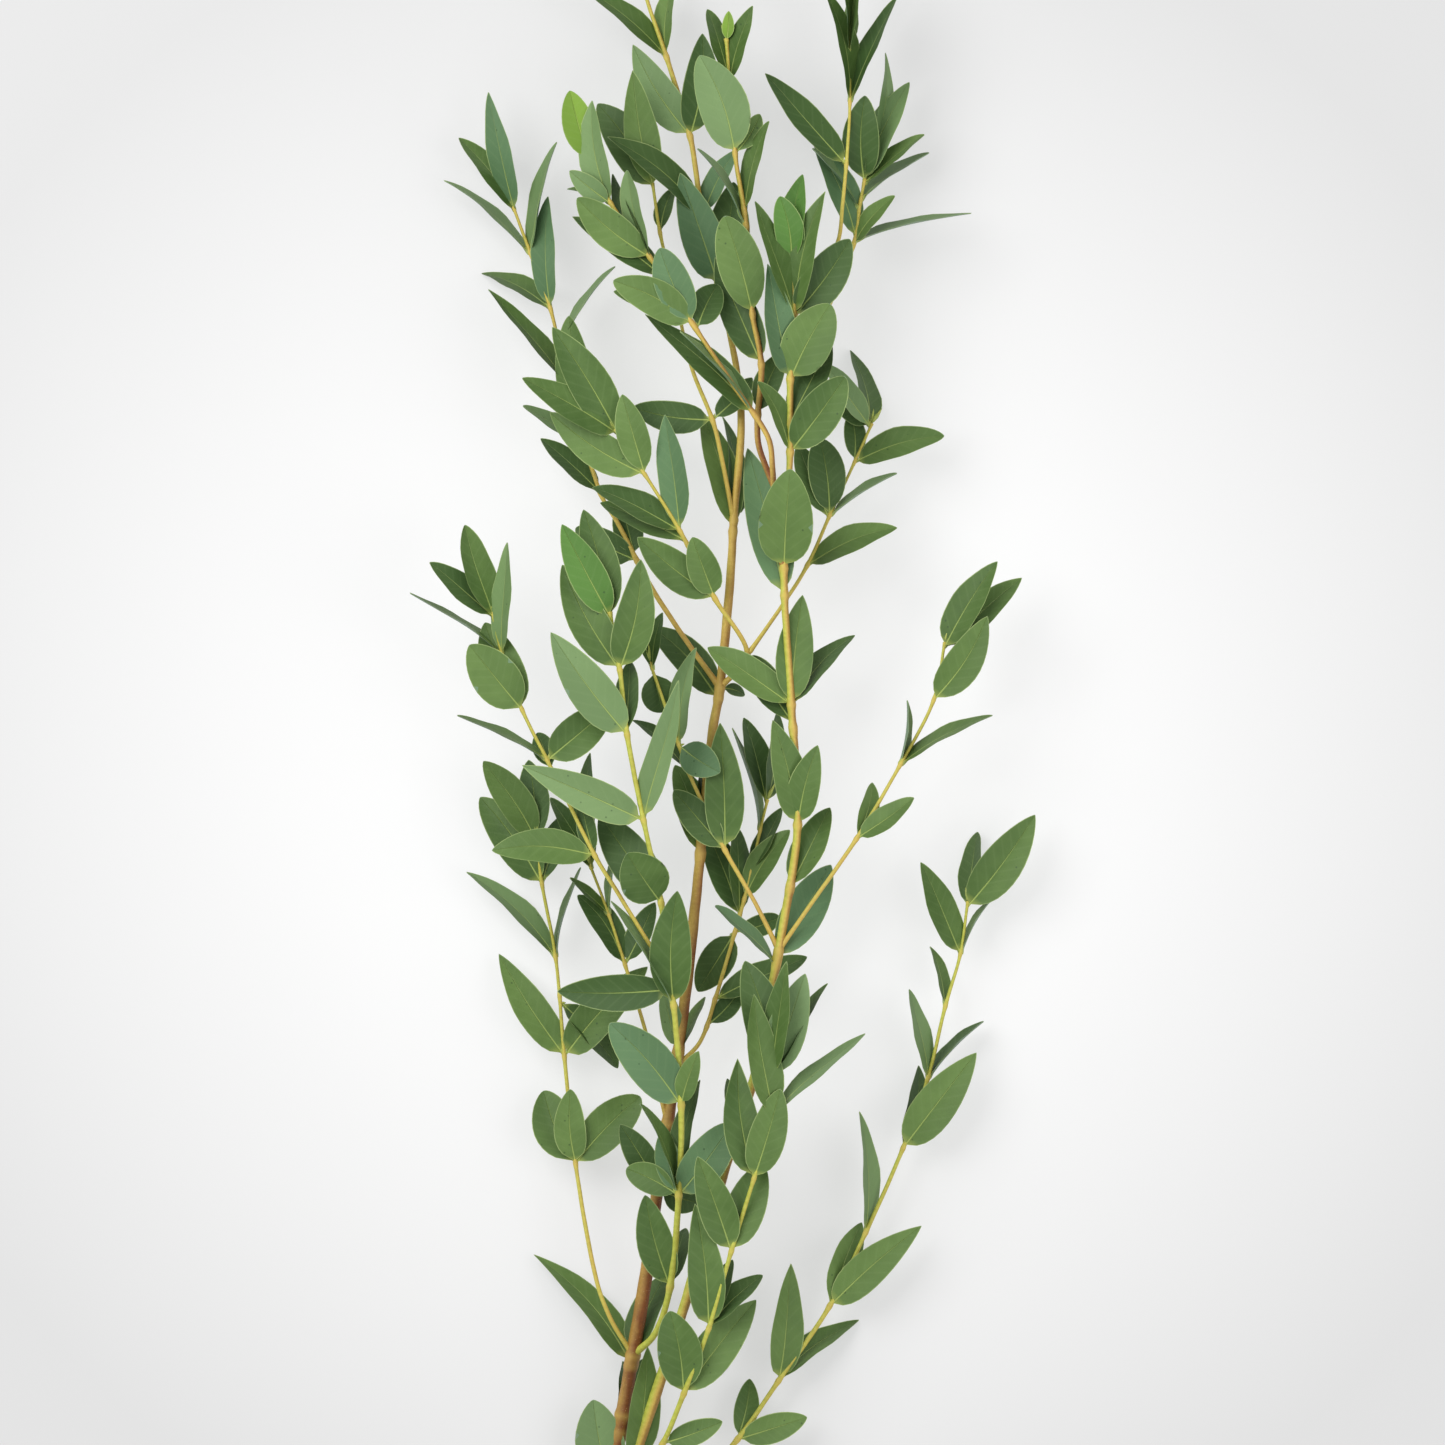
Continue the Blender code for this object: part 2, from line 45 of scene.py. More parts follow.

# %% [markdown]
# ## Where every stem and leaf goes
# A sprig is a twig with its leaves. Its points are joined by one smooth curve: place 0 is its
# foot, place 1 the first point listed, and place 1.5 lies halfway to the second. A leaf is
# (place, tip x, tip y, rise of the tip, width seen from above). A leaf that shows narrower
# than it is stands on its edge. These are the same values as the solids have, so a leaf lies
# where its solid lies.

# %% The sprigs
SPRIGS = {
    "main_stem": {
        "thick": (6.4, 1.4),
        "cut_end": (-50, 0, 4),
        "points": [(-46, 30, 9), (-42, 60, 14), (-36, 95, 20), (-31, 125, 24), (-26, 162, 28),
                   (-22, 188, 30), (-16, 230, 33), (-11, 275, 35), (-4, 345, 37), (-1, 363, 37),
                   (3, 405, 38), (4.5, 430, 38), (7.5, 470, 36), (4.5, 497, 34), (-8, 552, 31),
                   (-13, 584, 28), (-22.5, 616, 24), (-30, 638, 22), (-34, 654, 21)],
        "leaves": [(1.4, -52, 77, 6, 20), (2.1, -40, 92, -11, 6), (2.3, -32, 93, -10, 8),
                   (2.9, -76, 135, -14, 11), (3, -22, 128, -12, 12), (5, -8, 156, -8, 12),
                   (5.05, -41, 188, 4, 12), (6.6, -7, 239, -9, 5), (6.7, -24, 243, 6, 9),
                   (8.3, -19, 332, -7, 14), (8.35, -6, 338, -9, 10), (9.75, -30, 388, -22, 14),
                   (10, 9, 360, -9, 5), (11.85, -9, 474, -10, 13), (12, 0, 472, -18, 8),
                   (14.5, -17, 569, 5, 17), (14.45, 4.5, 566, -12, 18), (15, -46, 583, 21, 11),
                   (15, 6, 579, -5, 9), (16, -8, 625, 7, 15), (16, -36, 621, -3, 15),
                   (17, -58, 645, 6, 9), (17, -20, 646, -5, 8), (19, -47, 676, 3, 8),
                   (19, -29, 680, -3, 9)],
    },
    "centre_left_leader": {
        "thick": (2.8, 1.8),
        "grows_from": ("main_stem", 3),
        "points": [(-27, 104, 27), (-21, 123, 36), (-17.5, 160, 45), (-16.5, 196, 51),
                   (-19.5, 236, 56), (-22, 252, 57), (-24.5, 277, 59), (-31.5, 310, 61),
                   (-38, 344, 62), (-41, 370, 62), (-45, 393, 61)],
        "leaves": [(2, -31, 160, 6, 15), (2, -15, 146, -18, 9), (3, -38.5, 170.5, -6, 12),
                   (3, -33, 197, 8, 5), (3, -24, 186, -8, 11), (3, 4, 189, 6, 17),
                   (3, -9, 206, -12, 9), (4, -45, 229, 4, 19), (4, -9.5, 218, 10, 9),
                   (5, -18, 282, 8, 17), (5, -44.5, 278, 3, 5), (5.4, -66, 241.5, -10, 15),
                   (7, -38, 297, 12, 20), (7, -49, 312, -16, 18), (8, -80, 332, 4, 15),
                   (8, -17.5, 366, 3, 11), (9, -68.5, 385, 4, 18), (9, -37, 374, -10, 10),
                   (10, -64, 412, -6, 16), (10, -32.5, 414, 6, 16), (11, -64, 428, 5, 15),
                   (11, -55.5, 434, -4, 15)],
    },
    "right_leader": {
        "thick": (5.0, 2.2),
        "grows_from": ("main_stem", 1),
        "points": [(-38.5, 42, 15), (-34, 58, 20), (-24, 88, 30), (-16, 113, 35), (-8, 140, 39),
                   (4, 180, 44), (14, 212, 46), (20, 245, 48), (22.5, 258, 49), (30, 308, 52),
                   (27.5, 356, 54), (24.5, 410.5, 55), (27, 457, 54), (27, 486, 55),
                   (28.5, 511, 55), (27.5, 534, 54)],
        "leaves": [(1.6, -30, 99, 14, 13), (1.7, -33, 76, -10, 8), (6, 2, 206.5, -10, 8),
                   (8.55, -3, 276, 11, 5), (8.75, 43.5, 292, -19, 17), (9.5, 43, 315, -8, 13),
                   (10, 20, 350, 5, 14), (10, 38, 340, 7, 13), (11, -6, 379, -6, 13),
                   (11, 32, 400, -4, 15), (11, 53, 384, -12, 9), (10.85, 12, 376, -18, 13),
                   (12, 27, 450, 14, 22), (11.8, 10, 459, -24, 17), (13, 14, 485, 8, 8),
                   (13, 49, 487, 4, 17), (13.4, 43, 502, -10, 13), (14, 43, 516, 4, 20),
                   (14, 18, 532, 6, 13), (15, 13, 557, 5, 9), (15, 41, 561, 3, 12),
                   (15, 51, 542, -2, 17), (16, 23, 559, 4, 12), (16, 32, 568, -3, 11)],
    },
    "front_low_twig": {
        "thick": (2.4, 1.3),
        "grows_from": ("right_leader", 1),
        "points": [(-30, 52, 24), (-24, 60, 31), (-15.5, 80.5, 42), (-5.5, 107, 50), (3.5, 138, 56),
                   (12.5, 167, 60), (20, 192, 62), (20, 210, 62)],
        "leaves": [(2, 0, 69, 3, 10), (3, -21, 114, 8, 18), (3, 13.5, 118, -3, 17),
                   (4, -11, 157, 4, 15), (4, 16, 128, -10, 9), (4, 4, 134, -14, 10),
                   (5, -10, 176, 6, 15), (5, 16, 173, -4, 16), (6, 23, 203, 5, 15),
                   (6, 6, 215, -4, 15), (7, 57, 225, -6, 6), (7, 12.5, 241, 7, 13),
                   (8, 9, 254, -3, 17), (8, 33, 249, 3, 16), (8, 25.5, 254, 9, 10),
                   (8, 42, 245, -8, 6)],
    },
    "left_mid_twig": {
        "thick": (1.9, 1.2),
        "grows_from": ("centre_left_leader", 6),
        "points": [(-28, 259, 58), (-43, 283, 58), (-51, 296, 57), (-63, 320, 55), (-70, 334, 54),
                   (-80, 354, 52), (-88, 376, 50), (-92, 393, 48)],
        "leaves": [(3, -92, 298, 3, 14), (3, -57, 318, -4, 8), (5, -106, 352, 2, 3),
                   (5, -44, 356, -4, 16), (4.7, -74, 345, -10, 9), (6, -101, 380, 5, 19),
                   (6, -95, 389, -8, 17), (7, -86, 421, 3, 8), (7, -125, 401, -3, 2),
                   (8, -117, 413, 5, 10), (8, -103, 428, 0, 12)],
    },
    "left_low_twig": {
        "thick": (2.0, 1.2),
        "grows_from": ("main_stem", 3),
        "points": [(-45, 110, 25), (-51, 127, 24), (-59, 172, 20), (-63.5, 215, 18),
                   (-67, 254.5, 17), (-72.5, 284, 17), (-75, 303, 16)],
        "leaves": [(3, -72, 201, -8, 18), (3, -61, 202, 8, 13), (3, -33, 199, 2, 17),
                   (4, -90, 256, -10, 14), (4, -30, 251, 2, 16), (4.55, -42, 210, -6, 10),
                   (5, -103, 289, -5, 8), (5, -57, 291, 3, 2), (6, -97.5, 319, -9, 17),
                   (6, -58, 317, -15, 11), (7, -96, 333.5, 5, 14), (7, -78, 334, -9, 13)],
    },
    "right_low_twig": {
        "thick": (2.4, 1.2),
        "grows_from": ("main_stem", 0.45),
        "points": [(-36, 28, 10), (-10, 45, 13), (6, 61, 15), (22.5, 84.5, 16), (43, 114.5, 16),
                   (57.5, 144, 16), (72.5, 178, 16), (82.5, 206, 16), (89.5, 235, 17),
                   (95.5, 256, 18), (98.5, 277, 18)],
        "leaves": [(3, 11, 85, -8, 10), (3, 34, 70, 3, 12), (4, 27.5, 132, 6, 13),
                   (4, 55, 108.5, -15, 9), (5, 56, 148, -6, 12), (5, 80, 147, 4, 15),
                   (6, 55, 193, 5, 7), (7, 102, 216.5, 4, 17), (7, 79, 211, -12, 10),
                   (8, 75, 242, 4, 7), (8, 105, 229, -6, 3), (9, 83.5, 259, -6, 5),
                   (10, 79.5, 293, 3, 12), (10, 110, 280, -6, 2), (11, 125.5, 312, 4, 17),
                   (11, 102.5, 305, -14, 8)],
    },
    "right_side_twig": {
        "thick": (1.9, 1.2),
        "grows_from": ("right_leader", 9),
        "points": [(35, 276, 51), (53.5, 302.5, 49), (71, 332, 45), (84.5, 358, 41), (89, 381, 38)],
        "leaves": [(2, 60, 325, -8, 8), (2, 76.5, 319, 4, 9), (3, 108, 352, 2, 5),
                   (3, 74, 358, -3, 2), (4, 106, 391.5, 4, 15), (5, 110, 413.5, 3, 13),
                   (5, 120, 407, -7, 12)],
    },
    "inner_left_twig": {
        "thick": (2.0, 1.2),
        "grows_from": ("right_leader", 9),
        "points": [(13, 277, 48), (1, 298, 46), (-14, 330, 45), (-17.5, 340, 45), (-29, 373, 43)],
        "leaves": [(2, -19.5, 322, -2, 13), (2, -1, 349, -1, 16), (3, -36, 350, -6, 6),
                   (4, -10.5, 379, 5, 9), (4, -1, 329, 7, 14), (5, -36, 391, -2, 6),
                   (5, -24, 393, 4, 6), (5, -24, 353, -6, 14)],
    },
    "upper_left_twig": {
        "thick": (2.2, 1.2),
        "grows_from": ("main_stem", 10),
        "points": [(10, 376, 42), (-3, 398.5, 48), (-17, 425.5, 50), (-31, 448, 51),
                   (-43, 466, 50)],
        "leaves": [(2, -34, 423, 3, 15), (2, -12, 423, 7, 13), (3, -52, 443, -5, 11),
                   (2.85, -49, 437, -11, 11), (3, -23, 472, 3, 12), (4, -69, 473, -3, 15),
                   (4, -40, 480, 5, 13), (5, -80, 486.5, 7, 13), (5, -68, 507, 0, 17)],
    },
    "right_thin_twig": {
        "thick": (1.8, 1.1),
        "grows_from": ("upper_left_twig", 1),
        "points": [(24, 396, 38), (34, 412, 33), (43, 432, 28), (53, 453.5, 23), (60, 469, 20)],
        "leaves": [(2, 70, 427, 3, 11), (3, 39, 463, -4, 15), (2.95, 30, 461, -8, 12),
                   (3, 70, 449, 2, 3), (4, 51.5, 473, -8, 9), (4, 89, 464, 3, 12),
                   (5, 44, 481, -6, 9), (5, 41, 493, 5, 9), (5, 51.5, 499, -19, 8)],
    },
    "far_left_twig": {
        "thick": (2.3, 1.2),
        "grows_from": ("main_stem", 10),
        "points": [(-14, 381, 35), (-29, 404, 33), (-42, 429, 31), (-49, 441, 30), (-62, 484, 27),
                   (-69, 515, 24), (-77, 537, 22), (-84, 556, 20)],
        "leaves": [(2.4, -59, 427, -7, 13), (2.45, -41, 438, -8, 12), (4, -73, 463, -6, 9),
                   (4.4, -80, 476, 3, 6), (5, -94, 523, -5, 7), (4.7, -61.5, 512, 5, 14),
                   (5.5, -43, 532, 4, 3), (6, -97, 530, -23, 8), (6, -70, 560, 4, 10),
                   (7, -112, 567, -8, 4), (7, -66.5, 582, 3, 5), (8, -106, 584, -5, 10),
                   (8, -94, 602, 4, 10)],
    },
    "inner_up_twig": {
        "thick": (2.0, 1.2),
        "grows_from": ("main_stem", 12),
        "points": [(-1, 458, 42), (-4, 470, 43), (-12, 490, 43), (-18, 515, 41), (-25, 545, 38),
                   (-28, 565, 36)],
        "leaves": [(2, -36, 475, -4, 13), (2, 12, 487, -5, 9), (5, -19, 564, -8, 7),
                   (6, -50, 597, -4, 17), (6, -36, 610, 4, 14)],
    },
    "left_up_twig": {
        "thick": (2.6, 1.4),
        "grows_from": ("right_leader", 12),
        "points": [(21, 428, 55), (20, 450, 60), (18, 463, 62), (4, 484, 63), (-12, 508, 64),
                   (-29, 534.5, 62), (-44.5, 556, 59), (-54, 575, 56)],
        "leaves": [(3.4, -31, 512, -7, 12), (3.45, -17, 505, 5, 3), (5, -43.5, 525, 5, 15),
                   (5, -43.5, 521, -7, 12), (5, -25, 538, 4, 15), (4.9, -2, 524, -12, 13),
                   (6, -58, 558, 4, 15), (5.7, -60, 551, -9, 12), (6, -38, 569, 7, 8),
                   (5.95, -44, 568, -7, 7), (7, -61, 569, 3, 9), (7, -62, 562, -3, 3),
                   (7, -52, 597, 4, 11), (8, -61, 601, 4, 13), (8, -54, 588, 3, 4)],
    },
    "up_leader": {
        "thick": (2.8, 1.5),
        "grows_from": ("right_leader", 12.5),
        "points": [(19, 447, 50), (14, 463, 52), (15.5, 492, 54), (12, 512, 55), (9.5, 547, 56),
                   (5, 576, 56), (3, 604, 54), (1.5, 622, 53)],
        "leaves": [(3, -3, 535, -10, 15), (2.3, 24, 497, -9, 11), (4, 1, 551, 7, 18),
                   (5, -10, 578, 4, 3), (5, 12, 572, -12, 4), (5.2, 18.5, 589, 3, 7),
                   (6, -9, 615, 6, 20), (6, 15, 592, -5, 8), (7, -6, 634, -4, 8),
                   (7, 12, 635, 4, 8), (8, 2.5, 633, 2, 5)],
    },
    "low_back_twig": {
        "thick": (1.8, 1.1),
        "grows_from": ("main_stem", 6),
        "points": [(-27, 208, 33), (-31, 226, 35), (-39, 252, 37), (-45.5, 272, 38),
                   (-53, 292, 38)],
        "leaves": [(3, -58, 280, 2, 11), (3, -27, 277, -5, 10), (4, -61, 287, 4, 4),
                   (4, -43, 297, 3, 3), (5, -69, 319, -4, 9), (5, -53, 337, 0, 9)],
    },
    "mid_back_twig": {
        "thick": (1.9, 1.1),
        "grows_from": ("main_stem", 6.55),
        "points": [(-9, 221, 31), (-3, 238, 30), (5, 265, 29), (11, 287, 29), (15, 305.5, 29),
                   (18, 318, 29)],
        "leaves": [(1.4, 8, 243, -6, 9), (2, 34, 255, -6, 11), (3, -10, 241, -7, 14),
                   (3.3, -7, 307, -6, 14), (3.3, 5, 308, -3, 9), (3, 23, 271, -5, 9),
                   (3.6, 27, 306, 4, 11), (4.1, 24, 315, -5, 7), (5, 4, 347, 3, 2),
                   (6, 8.5, 351, -5, 10), (6, 22, 354, -3, 8)],
    },
    "top_right_twig": {
        "thick": (1.9, 1.1),
        "grows_from": ("right_leader", 15),
        "points": [(36, 524, 48), (46, 541, 43), (48, 556, 41), (49.5, 572, 40), (51, 597, 39),
                   (50.5, 619, 38)],
        "leaves": [(4, 17, 609, -4, 12), (5, 41, 642, 4, 8),
                   (5, 70, 640, -4, 7), (6, 47, 652, 3, 5), (6, 57, 655, -3, 5)],
    },
    "outer_right_twig": {
        "thick": (1.9, 1.1),
        "grows_from": ("right_leader", 14),
        "points": [(37, 505, 44), (46, 523, 37), (53, 542, 32), (55, 556, 30), (57, 567, 29)],
        "leaves": [(3, 100, 553.5, -8, 3), (2.9, 69, 560, 4, 7), (3.1, 36, 584, -3, 12),
                   (5, 57, 600, 9, 15), (5, 75, 606, -6, 12), (4.8, 81, 585, -4, 6),
                   (4.2, 83, 578, -12, 5), (5, 65.5, 618, -8, 7), (3.9, 36, 579, 6, 3)],
    },
}
BRANCH_CENTRE = np.array([0.25, 339.69, 0.84])
print("sprigs:", len(SPRIGS), "leaves:", sum(len(sprig["leaves"]) for sprig in SPRIGS.values()))

# %% [markdown]
# ## Each leaf's green, with painted light and shade
# No two leaves of a gum have the same green, and light and shade are painted in as well: a
# leaf in front is painted lighter as if it catches the light, one behind is painted deep green
# as shade, one seen from below is pale and bluish, and the youngest are yellow-green. One
# letter for each leaf, in the order of the table above, says which it is: m for middle, d for
# dark (painted shade), l for light (painted light), b for bluish, f for fresh green and y for young.

# %% The tones
TONES = {
    "main_stem": "lddmdddmlmdddmdbddbdlmmmm",
    "centre_left_leader": "mdmmbbdbmmldmdllldmmfm",
    "right_leader": "mddbbmmmmmddmbmmdmbmmdff",
    "front_low_twig": "mmmmddmmmmlmdlmd",
    "left_mid_twig": "mdmmdmmlmdm",
    "left_low_twig": "mmmmmdlmmdmd",
    "right_low_twig": "mmmmmmlmdldmmmmd",
    "right_side_twig": "mmmmmmm",
    "inner_left_twig": "dmdlbddd",
    "upper_left_twig": "mmdmbmmmm",
    "right_thin_twig": "mddldmdld",
    "far_left_twig": "dddlmmlmbllmb",
    "inner_up_twig": "ddddm",
    "left_up_twig": "dlmmbdmdldlmlyy",
    "up_leader": "ddmlmmlmmmy",
    "low_back_twig": "ddmldd",
    "mid_back_twig": "ddddddmdmdd",
    "top_right_twig": "dmdmm",
    "outer_right_twig": "lmbdlmlll",
}
# How green the bark is at the foot and at the tip: 0 is red-brown, 1 is yellow-green.
BARK_GREEN = {
    "main_stem": (0.05, 0.9), "centre_left_leader": (1.0, 1.0), "right_leader": (0.95, 1.0),
    "front_low_twig": (1.0, 1.0), "left_mid_twig": (0.7, 0.95), "left_low_twig": (0.7, 0.95),
    "right_low_twig": (0.85, 1.0), "right_side_twig": (0.6, 0.95),
    "inner_left_twig": (0.5, 0.9), "right_thin_twig": (0.7, 0.9), "far_left_twig": (0.5, 0.8),
    "left_up_twig": (0.3, 0.9), "up_leader": (0.15, 1.0),
}
USUAL_GREEN = (0.6, 0.9)
# How much redder the bark is on its right side.
RIGHT_SIDE_REDDENING = {"main_stem": 0.3, "right_leader": 0.75, "up_leader": 0.4, "left_up_twig": 0.4}
USUAL_REDDENING = 0.15
matches = [len(TONES[name]) == len(sprig["leaves"]) for name, sprig in SPRIGS.items()]
print("every leaf has its tone:", all(matches))

# %% [markdown]
# ## The camera looks down
# The branch lies down, so the camera hangs above it and looks straight down, with the tips at
# the top of the picture. A long lens keeps the leaves near it from growing. The picture is a
# square 578 mm wide at the height of the main stem, and its middle lies a little past the
# middle of the branch, so the cut end and the last tips fall outside it.

# %% Place the camera
PICTURE_WIDTH = 578.0
PICTURE_MIDDLE = np.array([0.0, 349.0, 42.0])
CAMERA_DISTANCE = 6000.0
SENSOR = 36.0
FARTHEST_SEEN = 100.0


def row_frame(place):
    """Branch millimetres to metres from the centre of the branch's footprint."""
    return (np.asarray(place, dtype=float) - BRANCH_CENTRE) * MM


def new_object(name, data):
    """An object of the scene that shows the data."""
    made = bpy.data.objects.new(name, data)
    bpy.context.scene.collection.objects.link(made)
    return made


camera_data = bpy.data.cameras.new("camera")
camera_data.sensor_width = SENSOR
camera_data.lens = SENSOR * CAMERA_DISTANCE / PICTURE_WIDTH
camera_data.clip_end = FARTHEST_SEEN
camera = new_object("camera", camera_data)
camera.location = row_frame(PICTURE_MIDDLE + np.array([0.0, 0.0, CAMERA_DISTANCE]))
bpy.context.scene.camera = camera
print("lens:", round(camera_data.lens), "mm")

# %% [markdown]
# ## Smooth curves
# A twig has no corners. The curve through its points is a cubic between each two of them,
# with the slope at a point taken from the points on both sides. The function works on a whole
# array of places at once.

# %% Curves through points
DIRECTION_STEP = 0.02


def slopes(path):
    """The curve's direction at each point: the step from its neighbours over their distance."""
    padded = np.vstack([path[:1], path, path[-1:]])
    steps = np.linalg.norm(np.diff(padded, axis=0), axis=1)
    reach = (steps[1:] + steps[:-1])[:, None]
    return (padded[2:] - padded[:-2]) / reach


def curve(path, places):
    """Points of the cubic through the path, with the slopes at both ends of each stretch."""
    places = np.atleast_1d(np.asarray(places, dtype=float))
    index = np.minimum(places.astype(int), len(path) - 2)
    step = (places - index)[:, None]
    span = np.linalg.norm(path[index + 1] - path[index], axis=1)[:, None]
    lean = slopes(path)
    square, cube = step ** 2, step ** 3
    return ((2 * cube - 3 * square + 1) * path[index]
            + (cube - 2 * square + step) * span * lean[index]
            + (3 * square - 2 * cube) * path[index + 1]
            + (cube - square) * span * lean[index + 1])


def directions(path, places):
    """Unit directions of the curve at the places."""
    places = np.atleast_1d(np.asarray(places, dtype=float))
    ahead = curve(path, np.minimum(places + DIRECTION_STEP, len(path) - 1))
    behind = curve(path, np.maximum(places - DIRECTION_STEP, 0))
    return unit(ahead - behind)


def unit(vectors):
    """Each vector at length 1."""
    return vectors / np.linalg.norm(vectors, axis=-1, keepdims=True)


def sprig_path(name):
    """The sprig's points, foot first. A side twig starts on its parent's centre line."""
    sprig = SPRIGS[name]
    points = np.array(sprig["points"], dtype=float)
    if "cut_end" in sprig:
        return np.vstack([np.array(sprig["cut_end"], dtype=float), points])
    parent, place = sprig["grows_from"]
    return np.vstack([curve(sprig_path(parent), place), points])


PATHS = {name: sprig_path(name) for name in SPRIGS}
print("longest stem, points:", max(len(path) for path in PATHS.values()))


def stem_radius(name, places):
    """Half the stem's thickness: it thins evenly from the foot to the tip."""
    foot, tip = SPRIGS[name]["thick"]
    return 0.5 * (foot + (tip - foot) * np.asarray(places) / (len(PATHS[name]) - 1))


# %% [markdown]
# ## Round stems
# A stem is a ring of points carried along its curve. The ring keeps upright as it goes, so
# the surface doesn't twist. It swells where leaves and twigs leave it, as a gum's nodes do,
# and flares where it grows from its parent, with its narrow first ring buried in the wood.
# It is never quite round: a slow oval and a quicker lumpiness turn about it as it goes. Its
# first 25 mm ease into this from a true circle, so the round cut face fits the main stem.

# %% Stem surfaces
RING_STEP = 2.2
STEM_SIDES = 10
NODE_SWELL = 0.42
NODE_LENGTH = 1.7
# A twig thinner than this radius swells in full at its nodes, and a thicker stem swells less.
THIN_RADIUS = 0.8
THICK_LOSS = 0.45
FOOT_FLARE = 0.6
FOOT_LENGTH = 3.0
BURIED_FOOT = 0.5
EVEN_FOOT = 25.0
# Each unevenness is a share of the radius, and its turn is in radians for each millimetre.
OVAL_SHARE = 0.05
OVAL_TURN = 0.09
LUMP_SHARE = 0.035
LUMP_TURN = 0.41
TIP_ROUNDING = 0.8
# The share of the reddening that shows on top of the stem, and what its right side adds.
TOP_SHARE_OF_RED = 0.45
RIGHT_SIDE_GAIN = 1.1
SHARP_ANGLE = np.radians(75.0)


def mesh_object(name, points, faces):
    """A smooth mesh from rows of points in branch millimetres and a list of faces."""
    mesh = bpy.data.meshes.new(name)
    mesh.from_pydata(row_frame(points).tolist(), [], faces)
    mesh.polygons.foreach_set("use_smooth", [True] * len(mesh.polygons))
    mesh.set_sharp_from_angle(angle=SHARP_ANGLE)
    return new_object(name, mesh)


def point_value(made, name, values):
    """A named number at each point of the mesh, for its material to read."""
    attribute = made.data.attributes.new(name, "FLOAT", "POINT")
    attribute.data.foreach_set("value", np.asarray(values, dtype=np.float32))


def tube_faces(rings, sides, first, pole_low, pole_high):
    """Quads between rings of points and triangles to a pole at each end, as one list."""
    around = np.arange(sides)
    beside = (around + 1) % sides
    low = first + sides * np.arange(rings - 1)[:, None]
    quads = np.stack([low + around, low + beside, low + sides + beside, low + sides + around], -1)
    top = first + sides * (rings - 1)
    start = np.stack([np.full(sides, pole_low), first + beside, first + around], -1)
    end = np.stack([top + around, top + beside, np.full(sides, pole_high)], -1)
    return quads.reshape(-1, 4).tolist() + start.tolist() + end.tolist()


def closed_forms(name, rings, poles):
    """One mesh of many closed forms: each is a row of rings with a pole at both ends."""
    count, rows, sides = rings.shape[:3]
    points = np.concatenate([rings.reshape(count, -1, 3), poles], axis=1)
    each = points.shape[1]
    faces = []
    for first in range(0, count * each, each):
        faces += tube_faces(rows, sides, first, first + each - 2, first + each - 1)
    return mesh_object(name, points.reshape(-1, 3), faces)


def ring_places(path):
    """Places along the path, about a ring step apart."""
    spans = np.linalg.norm(np.diff(path, axis=0), axis=1)
    steps = np.maximum(1, np.round(spans / RING_STEP)).astype(int)
    inner = [index + np.arange(count) / count for index, count in enumerate(steps)]
    return np.concatenate(inner + [[len(path) - 1.0]])


def carried_frame(along):
    """For each direction, an upward and a sideways unit vector square to it."""
    up = np.tile([0.0, 0.0, 1.0], (len(along), 1))
    up = unit(up - along * np.sum(up * along, axis=1, keepdims=True))
    return up, np.cross(along, up)


def circle_turns(sides):
    """Angles evenly spaced round a circle."""
    return 2 * np.pi * np.arange(sides) / sides


def circles(turns, up, across):
    """A unit circle of points for each pair of up and across vectors."""
    return (np.cos(turns)[:, None] * up[:, None, :]
            + np.sin(turns)[:, None] * across[:, None, :])


def node_places(name):
    """Where leaves and side twigs leave a stem."""
    places = [leaf[0] for leaf in SPRIGS[name]["leaves"]]
    for other in SPRIGS.values():
        if "grows_from" in other and other["grows_from"][0] == name:
            places.append(other["grows_from"][1])
    return np.unique(np.round(places, 1))


def ring_radii(name, walked, radius, bells, turns):
    """By ring and side: taper x (1 + a bell at each node + a flare at the foot + a waver)."""
    swell = NODE_SWELL * bells / (1 + THICK_LOSS * np.maximum(radius - THIN_RADIUS, 0))
    flare = 0.0 if "cut_end" in SPRIGS[name] else FOOT_FLARE * np.exp(-walked / FOOT_LENGTH)
    waver = OVAL_SHARE * np.sin(2 * turns + OVAL_TURN * walked[:, None])
    waver = waver + LUMP_SHARE * np.sin(LUMP_TURN * walked[:, None] + 3 * turns)
    waver = waver * np.minimum(walked / EVEN_FOOT, 1)[:, None]
    radii = radius[:, None] * (1 + (swell + flare)[:, None] + waver)
    if "grows_from" in SPRIGS[name]:
        radii[0] *= BURIED_FOOT
    return radii


